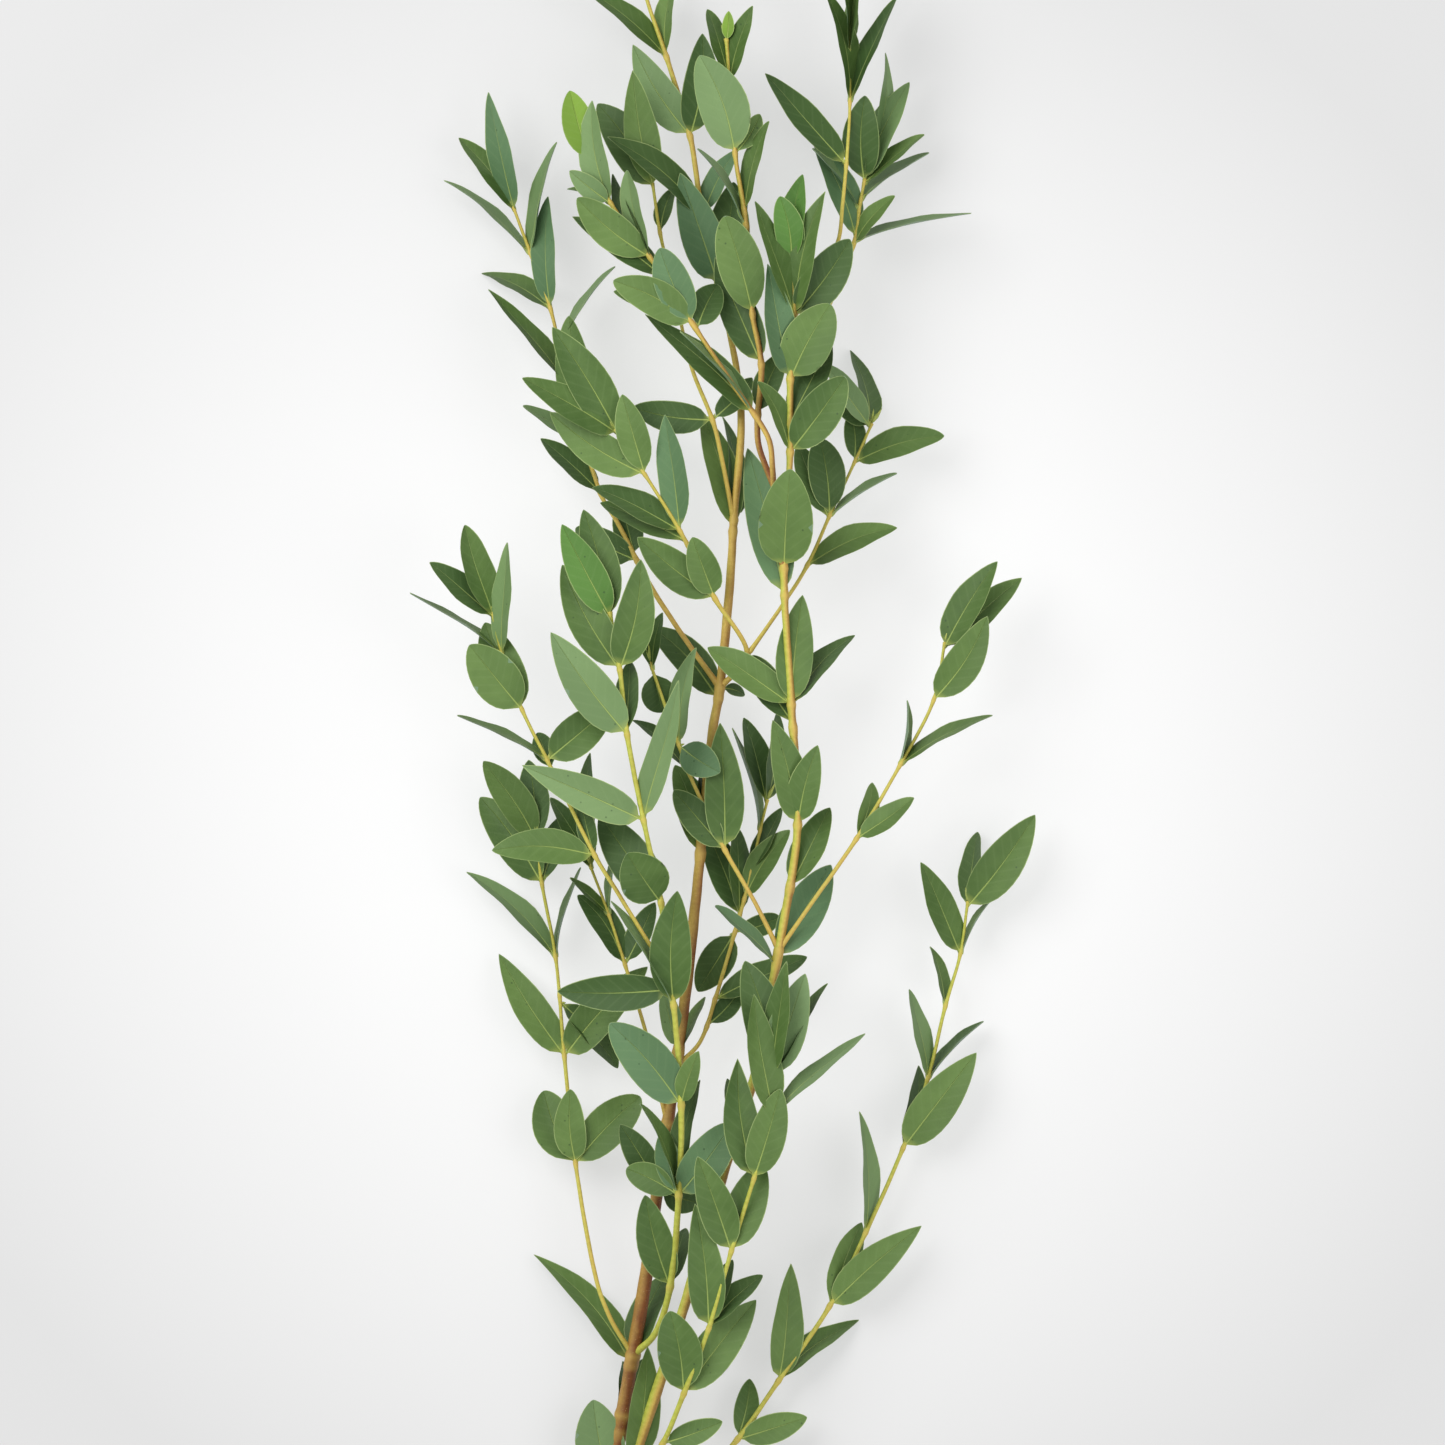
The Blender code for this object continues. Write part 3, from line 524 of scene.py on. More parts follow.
def stem_piece(name):
    """A sprig's stem as one closed tube, with its values for the finish."""
    path = PATHS[name]
    places = ring_places(path)
    centres = curve(path, places)
    along = directions(path, places)
    up, across = carried_frame(along)
    walked = np.concatenate([[0], np.cumsum(np.linalg.norm(np.diff(centres, axis=0), axis=1))])
    radius = stem_radius(name, places)
    node_walk = np.interp(node_places(name), places, walked)
    bells = np.exp(-((walked[:, None] - node_walk) / NODE_LENGTH) ** 2).max(axis=1)
    turns = circle_turns(STEM_SIDES)
    radii = ring_radii(name, walked, radius, bells, turns)
    rings = centres[:, None, :] + radii[..., None] * circles(turns, up, across)
    tip_cap = centres[-1] + along[-1] * radius[-1] * TIP_ROUNDING
    points = np.vstack([rings.reshape(-1, 3), centres[0], tip_cap])
    count = len(rings) * STEM_SIDES
    faces = tube_faces(len(rings), STEM_SIDES, 0, count, count + 1)
    made = mesh_object(name + "_stem", points, faces)
    green_foot, green_tip = BARK_GREEN.get(name, USUAL_GREEN)
    share = places / (len(path) - 1)
    green = green_foot + (green_tip - green_foot) * share
    # The bark is redder on its right side and a little on top.
    reddening = RIGHT_SIDE_REDDENING.get(name, USUAL_REDDENING)
    right_side_red = reddening * np.clip(TOP_SHARE_OF_RED + RIGHT_SIDE_GAIN * np.sin(turns), 0, 1)
    ends = [0.0, 0.0]
    point_value(made, "bark_green", np.concatenate([np.repeat(green, STEM_SIDES), green[[0, -1]]]))
    point_value(made, "node", np.concatenate([np.repeat(bells, STEM_SIDES), ends]))
    point_value(made, "walked", np.concatenate([np.repeat(walked, STEM_SIDES), walked[[0, -1]]]))
    point_value(made, "right_side_red", np.concatenate([np.tile(right_side_red, len(places)), ends]))
    return made


# %% [markdown]
# ## Leaves
# A gum leaf is a thin lens-shaped blade on a short stalk. Its outline is widest a little
# below the middle, round at the base and pointed at the tip: half-width = s to the power a
# times (1 - s) to the power b. A broad leaf has a smaller b, so its tip is blunter. The blade
# folds up a little along its midrib, bows, and its edge waves. Chance makes each leaf's
# powers, curl, sway, fold and waves its own. All leaves of a sprig are worked out in one
# array: leaf by row by point around.

# %% Leaf surfaces
LEAF_WIDTH_TO_LENGTH = 0.40
USUAL_LEAF_WIDTH = 15.0
LEAF_THICKNESS = 0.42
# The last pair sits a little before the twig's end, and a leaf starts inside the twig.
LAST_PAIR = 1.1
START_DEPTH = 0.3
STALK_LENGTH = 2.2
STALK_HALF_WIDTH = 0.48
STALK_EXTRA = 0.35
STALK_OVERLAP = 0.2
# A leaf starts to count as broad at this width to length, and is fully so a step beyond it.
BROAD_FROM = 0.28
BROAD_STEP = 0.17
LOW_POWER = 0.42
LOW_CHANCE = 0.16
HIGH_POWER = 0.84
BLUNTING = 0.28
HIGH_CHANCE = 0.14
# The bends are shares of the leaf's length, and the fold and the waves of its half-width.
LEAF_BOW = 0.05
LEAF_CURL = 0.10
CURL_DOWN = 0.35
CURL_TURN = 0.3
LEAF_SWAY = 0.11
LEAF_FOLD = 0.10
FOLD_CHANCE = 0.16
FOLD_POWER = 1.4
WAVE_HEIGHT = 0.045
WAVE_COUNT = 2.2
WAVE_SKEW = 1.3
MIDRIB_HEIGHT = 0.35
MIDRIB_WIDTH = 0.16
GROOVE = 0.12
DRAWS_PER_LEAF = 8
LEAF_ROWS = 15
ROW_SHARES = 0.5 - 0.5 * np.cos(np.pi * np.arange(1, LEAF_ROWS + 1) / (LEAF_ROWS + 1))
HALF_POINTS = 6
# The dark tone is painted shade and the light tone is painted light.
TONE_NAMES = {"d": "painted_shade_tone", "l": "painted_light_tone", "b": "bluish", "f": "fresh", "y": "young"}
ACROSS_UP = np.linspace(-1, 1, HALF_POINTS + 1)
ACROSS = np.concatenate([ACROSS_UP, ACROSS_UP[-2:0:-1]])
LOWER = np.concatenate([np.zeros(HALF_POINTS + 1), np.ones(HALF_POINTS - 1)])


def leaf_frames(name, leaves):
    """Base, tip, side, face and width of each leaf, from the table's values."""
    path = PATHS[name]
    places = np.minimum(leaves[:, 0], len(path) - LAST_PAIR)
    middles = curve(path, places)
    tips = np.column_stack([leaves[:, 1], leaves[:, 2], middles[:, 2] + leaves[:, 3]])
    along = unit(tips - middles)
    bases = middles + along * stem_radius(name, places)[:, None] * START_DEPTH
    length = np.linalg.norm(tips - bases, axis=1)
    flat_side = unit(np.cross(along, [0.0, 0.0, 1.0]))
    flat_face = np.cross(flat_side, along)
    shown = leaves[:, 4]
    width = np.maximum(shown, np.minimum(LEAF_WIDTH_TO_LENGTH * length, USUAL_LEAF_WIDTH))
    stem_along = directions(path, places)
    leans = np.where(stem_along[:, 0] * along[:, 1] - stem_along[:, 1] * along[:, 0] > 0, -1, 1)
    turn = (np.arccos(shown / width) * leans)[:, None]
    side = np.cos(turn) * flat_side + np.sin(turn) * flat_face
    face = np.cos(turn) * flat_face - np.sin(turn) * flat_side
    return bases, tips, side, face, length, width


def blade_points(bases, tips, side, face, length, width, chance):
    """Every leaf's points, as an array of leaf, row, point around and xyz, with half-widths."""
    rows = ROW_SHARES
    stalk = (STALK_LENGTH / length)[:, None]
    share = np.clip((rows - stalk) / (1 - stalk), 0, 1)
    blunt = np.clip((width / length - BROAD_FROM) / BROAD_STEP, 0, 1)[:, None]
    low_power = LOW_POWER + LOW_CHANCE * chance[:, [0]]
    high_power = HIGH_POWER - BLUNTING * blunt + HIGH_CHANCE * chance[:, [1]]
    peak = low_power / (low_power + high_power)
    top = peak ** low_power * (1 - peak) ** high_power
    half = 0.5 * width[:, None] * share ** low_power * (1 - share) ** high_power / top
    half = np.maximum(half, STALK_HALF_WIDTH * (1 - rows) ** 0.5)
    arch = np.sin(np.pi * rows)
    long = length[:, None]
    spine = bases[:, None, :] + (tips - bases)[:, None, :] * rows[..., None]
    bow = LEAF_BOW * long * 4 * rows * (1 - rows)
    curl = (chance[:, [2]] - CURL_DOWN) * LEAF_CURL * long * arch * (rows - CURL_TURN)
    sway = (chance[:, [3]] - 0.5) * LEAF_SWAY * long * arch
    spine = spine + face[:, None, :] * (bow - curl)[..., None] + side[:, None, :] * sway[..., None]
    reach = half[..., None]
    down = rows[..., None]
    fold = (LEAF_FOLD + FOLD_CHANCE * chance[:, [4]])[..., None]
    lift = fold * reach * np.abs(ACROSS) ** FOLD_POWER
    phase = 2 * np.pi * (down * WAVE_COUNT + chance[:, [5], None])
    wave = WAVE_HEIGHT * reach * ACROSS ** 2 * np.sin(phase + WAVE_SKEW * ACROSS)
    ridge = MIDRIB_HEIGHT * np.exp(-(ACROSS / MIDRIB_WIDTH) ** 2) * (1 - down)
    thick = LEAF_THICKNESS * (1 - np.abs(ACROSS) ** 3) + ridge + STALK_EXTRA * (down < stalk[..., None])
    height = lift + wave - thick * LOWER - GROOVE * ridge * (1 - LOWER)
    points = (spine[:, :, None, :] + side[:, None, None, :] * (reach * ACROSS)[..., None]
              + face[:, None, None, :] * height[..., None])
    return points, half


def leaves_piece(name, leaves, tones, dice):
    """All leaves of a sprig as one piece, each a closed blade, with its values for the finish."""
    bases, tips, side, face, length, width = leaf_frames(name, leaves)
    chance = dice.random((len(leaves), DRAWS_PER_LEAF))
    points, half = blade_points(bases, tips, side, face, length, width, chance)
    # A leaf that would dip below the table is lifted, row by row, to rest on it.
    points[..., 2] -= np.minimum(points[..., 2].min(axis=2, keepdims=True) - BRANCH_CENTRE[2], 0)
    count, rows, around = points.shape[:3]
    along = unit(tips - bases)
    poles = np.stack([bases - along * STALK_OVERLAP, tips], axis=1)
    made = closed_forms(name + "_leaves", points, poles)
    reach = half[..., None] * ACROSS
    edge = half[..., None] - np.abs(reach)
    put(made, "midrib_mm", reach.reshape(count, -1), 0.0, 0.0)
    put(made, "edge_mm", edge.reshape(count, -1), 0.0, 0.0)
    put(made, "along", np.tile(np.repeat(ROW_SHARES, around), (count, 1)), 0.0, 1.0)
    put(made, "underside", np.tile(np.tile(LOWER, rows), (count, 1)), 0.5, 0.5)
    for letter, attribute in TONE_NAMES.items():
        flags = np.array([1.0 if tone == letter else 0.0 for tone in tones])
        put(made, attribute, np.repeat(flags[:, None], rows * around, axis=1), flags, flags)
    put(made, "own", np.repeat(chance[:, 6:7], rows * around, axis=1), chance[:, 6], chance[:, 6])
    return made


def put(made, name, inner, foot, tip):
    """A value for every point of every leaf: those around the rows, then the two poles."""
    count = len(inner)
    ends = np.stack([np.broadcast_to(foot, count), np.broadcast_to(tip, count)], axis=1)
    point_value(made, name, np.concatenate([inner, ends], axis=1).reshape(-1))


# %% [markdown]
# ## Buds
# A tiny bud sits in the corner between each leaf and the stem, and a few slim ones end each
# twig. A bud is a spindle: three rings of six points between two poles.

# %% Bud surfaces
BUD_SHARES = np.array([0.15, 0.45, 0.78])
BUD_FULLNESS = np.array([0.75, 1.0, 0.55])
BUD_SIDES = 6
# Lengths and radii: the least, and what chance adds.
BUD_LENGTH = 2.2
LENGTH_CHANCE = 1.6
BUD_RADIUS = 0.40
RADIUS_CHANCE = 0.22
ALONG_STEM = 0.75
BUD_START = 0.6
TIP_BUD_START = 0.2
TIP_BUD_SPREAD = np.array([[0.25, 0.1, 0.12], [-0.3, 0.05, 0.05], [0.02, 0.0, 0.3]])
TIP_BUD_LENGTHS = [7.5, 6.0, 4.5]
TIP_BUD_RADII = [0.75, 0.65, 0.6]


def spindles(name, bases, ways, lengths, radii):
    """Closed spindles: each ring's radius is the bud's radius times the ring's fullness."""
    up, across = carried_frame(ways)
    circle = circles(circle_turns(BUD_SIDES), up, across)
    reach = ways * lengths[:, None]
    centres = bases[:, None, :] + reach[:, None, :] * BUD_SHARES[:, None]
    thick = radii[:, None] * BUD_FULLNESS
    rings = centres[:, :, None, :] + circle[:, None, :, :] * thick[:, :, None, None]
    return closed_forms(name, rings, np.stack([bases, bases + reach], axis=1))


def buds_piece(name, leaves, dice):
    """An axil bud beside each leaf, and three slim buds at the sprig's tip."""
    path = PATHS[name]
    places = np.minimum(leaves[:, 0], len(path) - LAST_PAIR)
    bases, tips = leaf_frames(name, leaves)[:2]
    stem_way = directions(path, places)
    leaf_way = unit(tips - bases)
    ways = unit(ALONG_STEM * stem_way + leaf_way)
    starts = curve(path, places) + leaf_way * stem_radius(name, places)[:, None] * BUD_START
    lengths = BUD_LENGTH + LENGTH_CHANCE * dice.random(len(leaves))
    radii = BUD_RADIUS + RADIUS_CHANCE * dice.random(len(leaves))
    spread = unit(directions(path, [len(path) - 1]) + TIP_BUD_SPREAD)
    end = curve(path, [len(path) - 1]) + TIP_BUD_START * spread
    return spindles(
        name + "_buds", np.vstack([starts, end]), np.vstack([ways, spread]),
        np.concatenate([lengths, TIP_BUD_LENGTHS]), np.concatenate([radii, TIP_BUD_RADII]))


# %% [markdown]
# ## The cut end
# Secateurs left a flat pale face with a darker pith. It is a low dome on a polar grid: rings
# of points out to the bark, and its rim meets the stem.

# %% Cut face
CUT_RINGS = 9
CUT_SIDES = 28
CUT_FIT = 0.985
CUT_RISE = 0.12
CUT_DOME = 0.22
BACK_SHARE = 0.9
BACK_DEPTH = 0.4


def cut_piece():
    """A thin closed disc square to the stem's foot: radius by ring, with a slight dome."""
    path = PATHS["main_stem"]
    centre = curve(path, [0.0])
    along = directions(path, [0.0])
    up, across = carried_frame(along)
    radius = float(stem_radius("main_stem", 0.0)) * CUT_FIT
    reach = radius * np.arange(1, CUT_RINGS + 1) / CUT_RINGS
    dome = CUT_DOME * (1 - (reach / radius) ** 2)
    circle = circles(circle_turns(CUT_SIDES), up, across)
    front = centre + circle * reach[:, None, None] - along * (CUT_RISE + dome)[:, None, None]
    back = centre + circle * (radius * BACK_SHARE) + along * BACK_DEPTH
    rings = np.concatenate([front, back])[None]
    poles = np.stack([centre - along * (CUT_RISE + CUT_DOME), centre + along * BACK_DEPTH], axis=1)
    made = closed_forms("cut_end", rings, poles)
    from_pith = np.concatenate([np.repeat(reach, CUT_SIDES), np.full(CUT_SIDES, radius), [0, 0]])
    point_value(made, "from_pith", from_pith)
    return made


# %% [markdown]
# ## Finishes as arithmetic
# A finish is easier to read as sums than as boxes and wires. A Signal wraps one socket, and
# arithmetic on it adds the Math nodes. A Finish holds a material and one method that adds
# any other node. Most numbers in a finish are shares: of a paint over the paint below it, or
# of a signal in a sum.

# %% Signals and finishes


class Signal:
    """A number that changes over the surface. Its operators add Math nodes."""

    def __init__(self, finish, socket):
        self.finish = finish
        self.socket = socket

    def math(self, operation, *others):
        """One Math node with this signal first."""
        inputs = dict(enumerate([self, *others]))
        node = self.finish.node("ShaderNodeMath", {"operation": operation}, inputs)
        return Signal(self.finish, node.outputs[0])

    def __add__(self, other):
        return self.math("ADD", other)

    __radd__ = __add__

    def __mul__(self, other):
        return self.math("MULTIPLY", other)

    def __sub__(self, other):
        return self.math("SUBTRACT", other)

    def __rsub__(self, other):
        return self.math("MULTIPLY_ADD", -1.0, other)

    def __truediv__(self, other):
        return self.math("DIVIDE", other)

    def __pow__(self, other):
        return self.math("POWER", other)

    def __gt__(self, other):
        return self.math("GREATER_THAN", other)

    def __abs__(self):
        return self.math("ABSOLUTE")

    def sine(self):
        """The sine of the signal, in radians."""
        return self.math("SINE")

    def held(self):
        """The signal kept between 0 and 1."""
        return self.math("MAXIMUM", 0.0).math("MINIMUM", 1.0)


class Finish:
    """A material with a Principled shader, and the methods that build its nodes."""

    def __init__(self, name, specular):
        self.material = bpy.data.materials.new(name)
        self.material.use_nodes = True
        self.tree = self.material.node_tree
        self.shader = self.tree.nodes["Principled BSDF"]
        self.shader.inputs["Specular IOR Level"].default_value = specular
        self.place = self.node("ShaderNodeTexCoord", {}, {}).outputs["Object"]

    def node(self, kind, settings, inputs):
        """Adds a node: its settings first, then the values or links of its sockets."""
        made = self.tree.nodes.new(kind)
        for key, value in settings.items():
            setattr(made, key, value)
        for key, value in inputs.items():
            self.feed(made.inputs[key], value)
        return made

    def feed(self, socket, value):
        """Links a signal or a socket, or sets a plain value."""
        if isinstance(value, Signal):
            value = value.socket
        if isinstance(value, bpy.types.NodeSocket):
            self.tree.links.new(value, socket)
        else:
            socket.default_value = value

    def value(self, name):
        """A number that the piece's mesh carries at its points."""
        node = self.node("ShaderNodeAttribute", {"attribute_name": name}, {})
        return Signal(self, node.outputs["Fac"])

    def noise(self, scale, detail):
        """Soft random patches, about one over scale in metres wide."""
        inputs = {"Vector": self.place, "Scale": scale, "Detail": detail}
        return Signal(self, self.node("ShaderNodeTexNoise", {}, inputs).outputs[0])

    def dots(self, scale):
        """The distance to the nearest of many scattered points, 0 at a point."""
        inputs = {"Vector": self.place, "Scale": scale}
        return Signal(self, self.node("ShaderNodeTexVoronoi", {}, inputs).outputs["Distance"])

    def mix(self, share, low, high):
        """A colour between two, as a socket."""
        made = self.node("ShaderNodeMix", {"data_type": "RGBA"}, {0: share, 6: low, 7: high})
        return made.outputs[2]

    def surface(self, colour, roughness, height, depth):
        """Feeds the shader: colour, roughness, and a bump of the height signal."""
        self.feed(self.shader.inputs["Base Color"], colour)
        self.feed(self.shader.inputs["Roughness"], roughness)
        bump = self.node("ShaderNodeBump", {}, {"Height": height, "Distance": depth})
        self.feed(self.shader.inputs["Normal"], bump.outputs[0])
        return self.material


def paint(red, green, blue):
    """A screen colour, 0 to 255, as the linear colour that shaders use."""
    screen = np.array([red, green, blue]) / 255
    linear = np.where(screen <= 0.04045, screen / 12.92, ((screen + 0.055) / 1.055) ** 2.4)
    return (*linear.tolist(), 1.0)


# %% [markdown]
# ## The leaf
# The upper face is a matte grey-green under a thin bloom of wax. The midrib is a pale
# yellow-green line, strongest at the stalk. Side veins are almost invisible, a thin pale
# margin shows along parts of the edge, and a few dark specks are scattered about. The lower
# face is paler and bluer, and its midrib stands out.

# %% Leaf finish
DEEP_GREEN = paint(66, 94, 40)
SOFT_GREEN = paint(112, 140, 76)
SHADED_HALF = paint(44, 72, 36)
UNDERSIDE = paint(126, 152, 132)
SIDE_VEIN = paint(160, 182, 130)
SPECK = paint(44, 66, 40)
MARGIN = paint(172, 190, 124)
MIDRIB = paint(164, 184, 100)
LEAF_BASE = paint(178, 186, 92)
# Painted shade and light: the dark tone darkens leaves that lie behind, and the light tone lightens
# leaves in front.
TONE_PAINTS = {
    "painted_shade_tone": (0.7, paint(56, 82, 40)), "painted_light_tone": (0.7, paint(126, 154, 104)),
    "bluish": (0.7, paint(94, 128, 94)), "fresh": (0.7, paint(84, 132, 54)),
    "young": (0.85, paint(126, 162, 54)),
}


def leaf_finish():
    """Grey-green blade with midrib, veins, margin, specks and a paler underside."""
    finish = Finish("leaf_blade", specular=0.28)
    cloud = finish.noise(scale=38.0, detail=3.0)
    patch = finish.noise(scale=210.0, detail=3.0)
    grain = finish.noise(scale=1600.0, detail=2.0)
    own = finish.value("own")
    along = finish.value("along")
    across = finish.value("midrib_mm")
    off_midrib = abs(across)
    off_edge = finish.value("edge_mm")
    under = finish.value("underside") > 0.02
    bright = (cloud * 0.7 + own * 0.55 + patch * 0.35 - 0.35).held()
    colour = finish.mix(bright, DEEP_GREEN, SOFT_GREEN)
    # Each leaf's tone. The dark and light tones are painted shade and painted light.
    for tone, (share, tint) in TONE_PAINTS.items():
        colour = finish.mix(finish.value(tone) * share, colour, tint)
    # Painted shade: one half of each blade, the half that chance picks, is darkened as if it were
    # turned from the light.
    painted_shade_half = (across * ((own > 0.5) * 3.0 - 1.5) + 0.5).held()
    colour = finish.mix(painted_shade_half * 0.18, colour, SHADED_HALF)
    colour = finish.mix(under * 0.55, colour, UNDERSIDE)
    ribs = ((along * 52.0 - off_midrib * 1.25).sine() * 0.5 + 0.5) ** 9.0
    ribs = ribs * (off_edge * 1.2 - 0.3).held()
    colour = finish.mix(ribs * 0.04, colour, SIDE_VEIN)
    speck = (0.13 - finish.dots(scale=240.0)).held() * 14.0
    colour = finish.mix((speck * (cloud > 0.54)).held() * 0.6, colour, SPECK)
    rim = (1.0 - off_edge * 2.4).held()
    colour = finish.mix(rim * (cloud * 2.0 - 0.3).held(), colour, MARGIN)
    rib_width = 0.46 - along * 0.34
    rib = ((rib_width - off_midrib) * 5.0).held()
    colour = finish.mix(rib * (0.8 - along * 0.6), colour, MIDRIB)
    base = (1.0 - along * 9.0).held()
    colour = finish.mix(base * 0.8, colour, LEAF_BASE)
    roughness = 0.50 + patch * 0.14 - rib * 0.08
    height = patch * 0.5 + grain * 0.25 - rib * (1.0 - under * 2.0) * 0.9 - ribs * 0.05
    return finish.surface(colour, roughness, height, depth=0.00022)


# %% [markdown]
# ## The bark
# Old bark is red-brown and satin, with fine pale dots. Young twigs are yellow-green, redder on
# their right side and a little on top, and the nodes are ochre. The mesh says how green a place is.

# %% Bark finish
BROWN = [paint(98, 52, 26), paint(152, 92, 46)]
OCHRE = [paint(184, 150, 62), paint(216, 188, 98)]
LEAFY = [paint(158, 168, 54), paint(200, 202, 90)]
NODE_OCHRE = paint(204, 174, 88)
BARK_DOT = paint(214, 178, 124)


def bark_finish():
    """Red-brown to yellow-green bark with ochre nodes and pale dots."""
    finish = Finish("twig_bark", specular=0.4)
    cloud = finish.noise(scale=90.0, detail=3.0)
    grain = finish.noise(scale=900.0, detail=3.0)
    node = finish.value("node")
    streak = (finish.value("walked") * 1.9 + cloud * 26.0).sine() * 0.5 + 0.5
    # Less green, so redder, on the stem's right side and a little on top.
    green = (finish.value("bark_green") + cloud * 0.4 - 0.2 - finish.value("right_side_red")).held()
    mottle = (grain * 0.9 + streak * 0.08 - 0.02).held()
    brown = finish.mix(mottle, *BROWN)
    ochre = finish.mix(mottle, *OCHRE)
    leafy = finish.mix((cloud * 0.8 + streak * 0.3 - 0.1).held(), *LEAFY)
    colour = finish.mix((green * 2.0).held(), brown, ochre)
    colour = finish.mix((green * 2.0 - 1.0).held(), colour, leafy)
    colour = finish.mix(node * 0.5, colour, NODE_OCHRE)
    dot = ((0.16 - finish.dots(scale=820.0)) * 12.0).held() * (1.0 - green)
    colour = finish.mix(dot * 0.7, colour, BARK_DOT)
    roughness = 0.46 + grain * 0.2
    height = grain * 0.7 + streak * 0.04 + dot * 0.5
    return finish.surface(colour, roughness, height, depth=0.00018)


# %% [markdown]
# ## Buds and the cut face
# Buds are yellow-green, mottled with tan. The cut wood is pale cream, with fine growth rings
# and a small brown pith.

# %% Bud and wood finishes
BUD_GREEN = paint(132, 162, 70)
BUD_TAN = paint(190, 186, 100)
PALE_WOOD = paint(226, 208, 158)
RING_WOOD = paint(190, 158, 104)
PITH = paint(138, 98, 58)
BARK_EDGE = paint(112, 66, 36)


def bud_finish():
    """Yellow-green spindles, mottled with tan."""
    finish = Finish("bud_skin", specular=0.4)
    patch = finish.noise(scale=420.0, detail=2.0)
    colour = finish.mix(patch, BUD_GREEN, BUD_TAN)
    return finish.surface(colour, 0.44 + patch * 0.16, patch, depth=0.0001)


def wood_finish():
    """Pale rings around a brown pith, with the bark's brown at the rim."""
    finish = Finish("cut_wood", specular=0.25)
    from_pith = finish.value("from_pith")
    grain = finish.noise(scale=1300.0, detail=3.0)
    rings = (from_pith * 7.0 + grain * 2.0).sine() * 0.5 + 0.5
    colour = finish.mix(rings * 0.5 + grain * 0.3, PALE_WOOD, RING_WOOD)
    colour = finish.mix((1.0 - from_pith * 2.2).held(), colour, PITH)
    colour = finish.mix(((from_pith - 2.85) * 5.0).held(), colour, BARK_EDGE)
    return finish.surface(colour, 0.62 + grain * 0.15, rings * 0.4 + grain, depth=0.00012)


LEAF_BLADE = leaf_finish()
TWIG_BARK = bark_finish()
BUD_SKIN = bud_finish()
CUT_WOOD = wood_finish()
print("finishes:", [made.name for made in (LEAF_BLADE, TWIG_BARK, BUD_SKIN, CUT_WOOD)])

# %% [markdown]
# ## Grow every sprig
# Each sprig becomes a stem, its leaves and its buds. Stem and leaves stand for the sprig's
# plain solid. Nothing moves by itself, so all of it rides on the one body.

# %% Make the pieces


def dress(made, finish, node=None):
    """Gives a piece its finish and its body, and hides the solid that it stands for."""
    made.data.materials.append(finish)
    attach(made, "root")
    if node:
        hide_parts(node)


dice = np.random.default_rng(seed=7)
pieces = []
for name, sprig in SPRIGS.items():
    leaves = np.array(sprig["leaves"], dtype=float)
    stem = stem_piece(name)
    blades = leaves_piece(name, leaves, TONES[name], dice)
    buds = buds_piece(name, leaves, dice)
    dress(stem, TWIG_BARK, name)
    dress(blades, LEAF_BLADE, name)
    dress(buds, BUD_SKIN)
    pieces += [stem, blades, buds]
cut_end = cut_piece()
dress(cut_end, CUT_WOOD)
pieces.append(cut_end)
triangles = [sum(len(face.vertices) - 2 for face in made.data.polygons) for made in pieces]
print("pieces:", len(pieces), "triangles:", sum(triangles), "largest:", max(triangles))

# %% [markdown]
# ## Table and light
# The photograph's ground is white in the middle and light grey at the corners. The table is
# one pale sheet with a painted glow of light, so the shadows on it are faint. The glow greys
# with the distance from the middle, a painted fall-off of the light. The light is a bright
# even room with one broad soft lamp to the upper left and a weaker one on the right.

# %% Floor and lamps
FLOOR_HALF_SIZE = 4.0
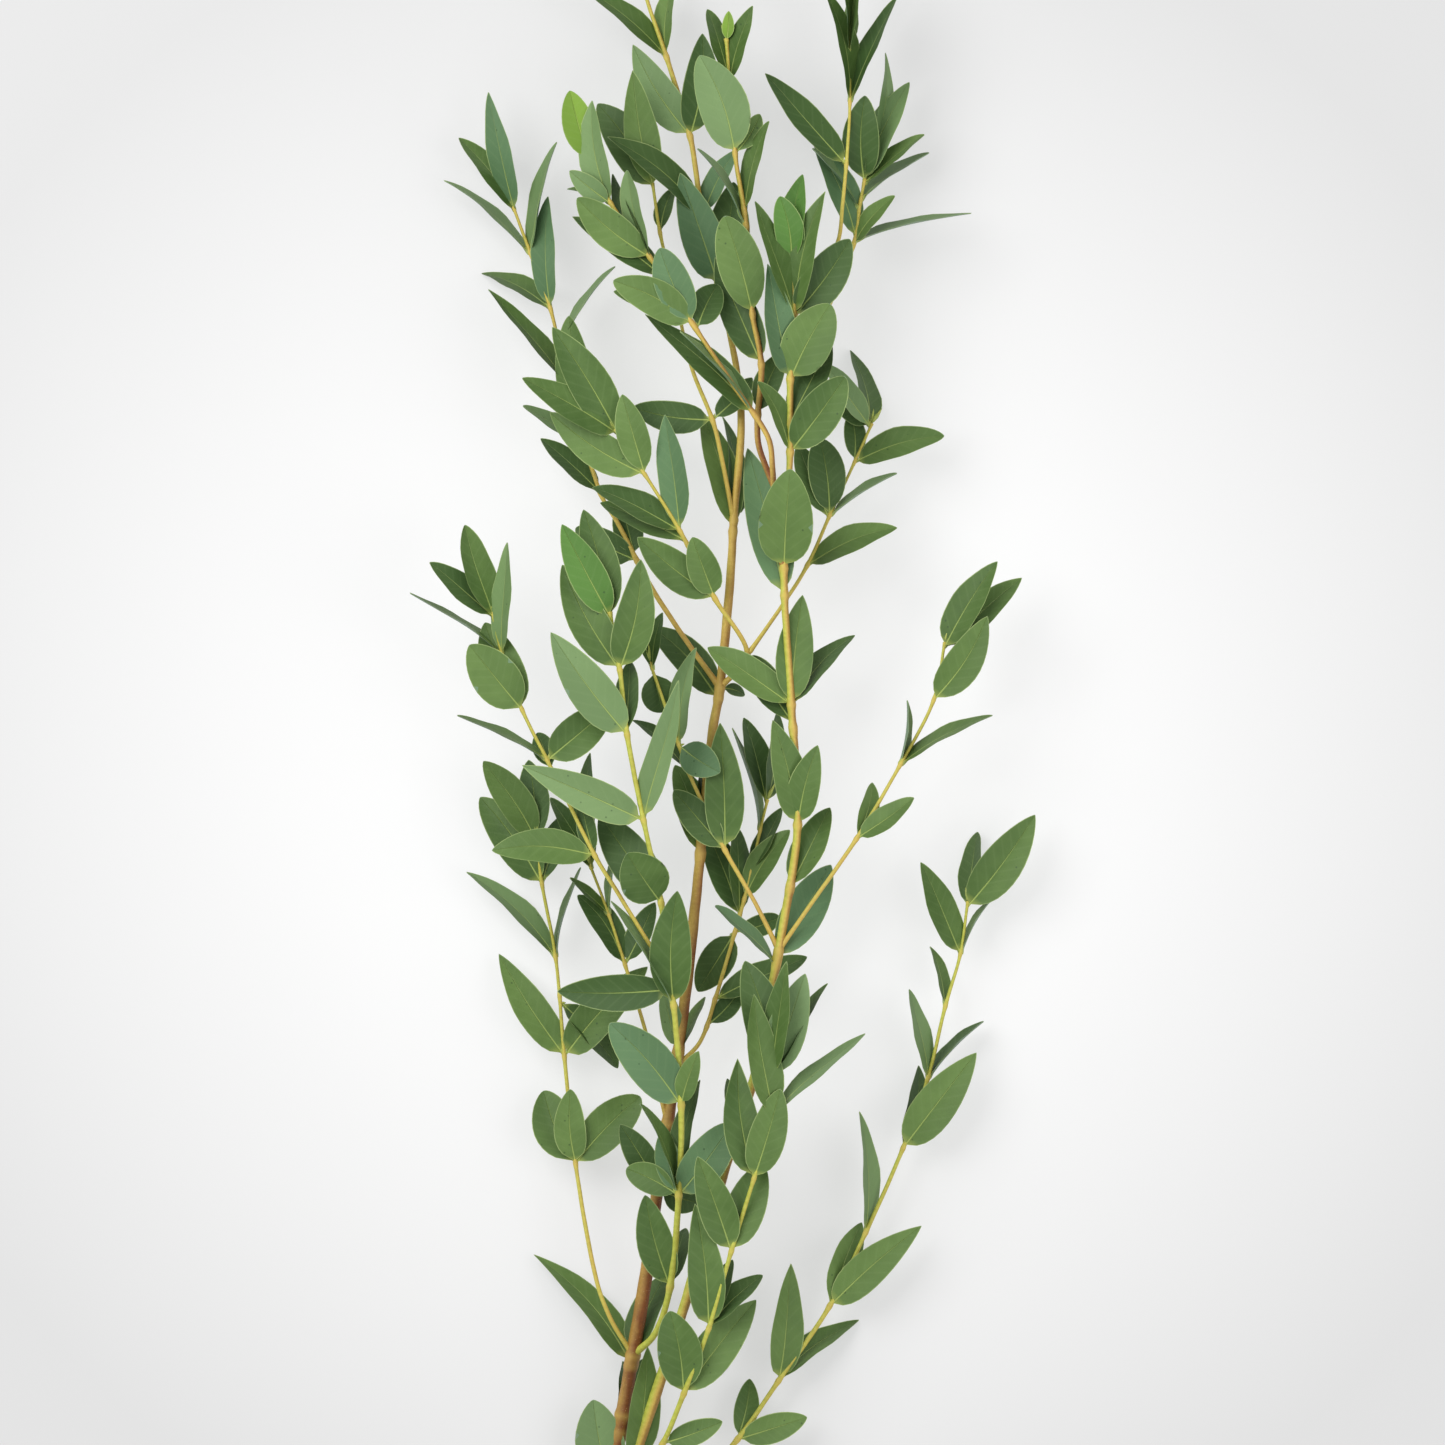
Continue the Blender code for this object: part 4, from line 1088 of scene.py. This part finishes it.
# Painted light: the table's own glow is white in the middle and greys between these distances in
# metres, a painted fall-off.
FALLOFF_START = 0.13
FALLOFF_END = 0.36
TABLE_GREY = paint(160, 160, 160)
TABLE_ROUGHNESS = 0.9
PAINTED_LIGHT_MIDDLE = paint(255, 255, 255)
PAINTED_FALLOFF_EDGE = paint(205, 205, 205)
PAINTED_GLOW_STRENGTH = 0.58
ROOM_WHITE = (1.0, 1.0, 1.0, 1.0)
ROOM_STRENGTH = 0.55


def floor_piece():
    """A flat square under the branch, with a painted glow of light that fades from white to grey."""
    mesh = bpy.data.meshes.new("table_top")
    corners = [(-1, -1), (1, -1), (1, 1), (-1, 1)]
    points = [(x * FLOOR_HALF_SIZE, y * FLOOR_HALF_SIZE, 0.0) for x, y in corners]
    mesh.from_pydata(points, [], [(0, 1, 2, 3)])
    finish = Finish("pale_table", specular=0.1)
    distance = finish.node("ShaderNodeVectorMath", {"operation": "LENGTH"}, {0: finish.place})
    painted_falloff = ((Signal(finish, distance.outputs["Value"]) - FALLOFF_START) / (FALLOFF_END - FALLOFF_START)).held()
    painted_glow = finish.mix(painted_falloff, PAINTED_LIGHT_MIDDLE, PAINTED_FALLOFF_EDGE)
    finish.feed(finish.shader.inputs["Base Color"], TABLE_GREY)
    finish.feed(finish.shader.inputs["Roughness"], TABLE_ROUGHNESS)
    # Painted light: the table glows by itself, so the branch's shadow on it is faint.
    finish.feed(finish.shader.inputs["Emission Color"], painted_glow)
    finish.feed(finish.shader.inputs["Emission Strength"], PAINTED_GLOW_STRENGTH)
    mesh.materials.append(finish.material)
    made = new_object("table_top", mesh)


def lamp(name, place, size, power):
    """A square soft lamp that faces the middle of the branch."""
    data = bpy.data.lights.new(name, "AREA")
    data.size = size
    data.energy = power
    made = new_object(name, data)
    made.location = place
    way = -made.location.normalized()
    made.rotation_euler = way.to_track_quat("-Z", "Y").to_euler()


floor_piece()
lamp("soft_key", place=(-0.9, 0.7, 1.5), size=1.3, power=26.0)
lamp("soft_fill", place=(1.1, -0.2, 1.4), size=1.2, power=9.0)
world = bpy.data.worlds.new("even_room")
world.use_nodes = True
background = world.node_tree.nodes["Background"]
background.inputs["Color"].default_value = ROOM_WHITE
background.inputs["Strength"].default_value = ROOM_STRENGTH
bpy.context.scene.world = world
bpy.context.scene.view_settings.view_transform = "Standard"
print("lamps:", len(bpy.data.lights))
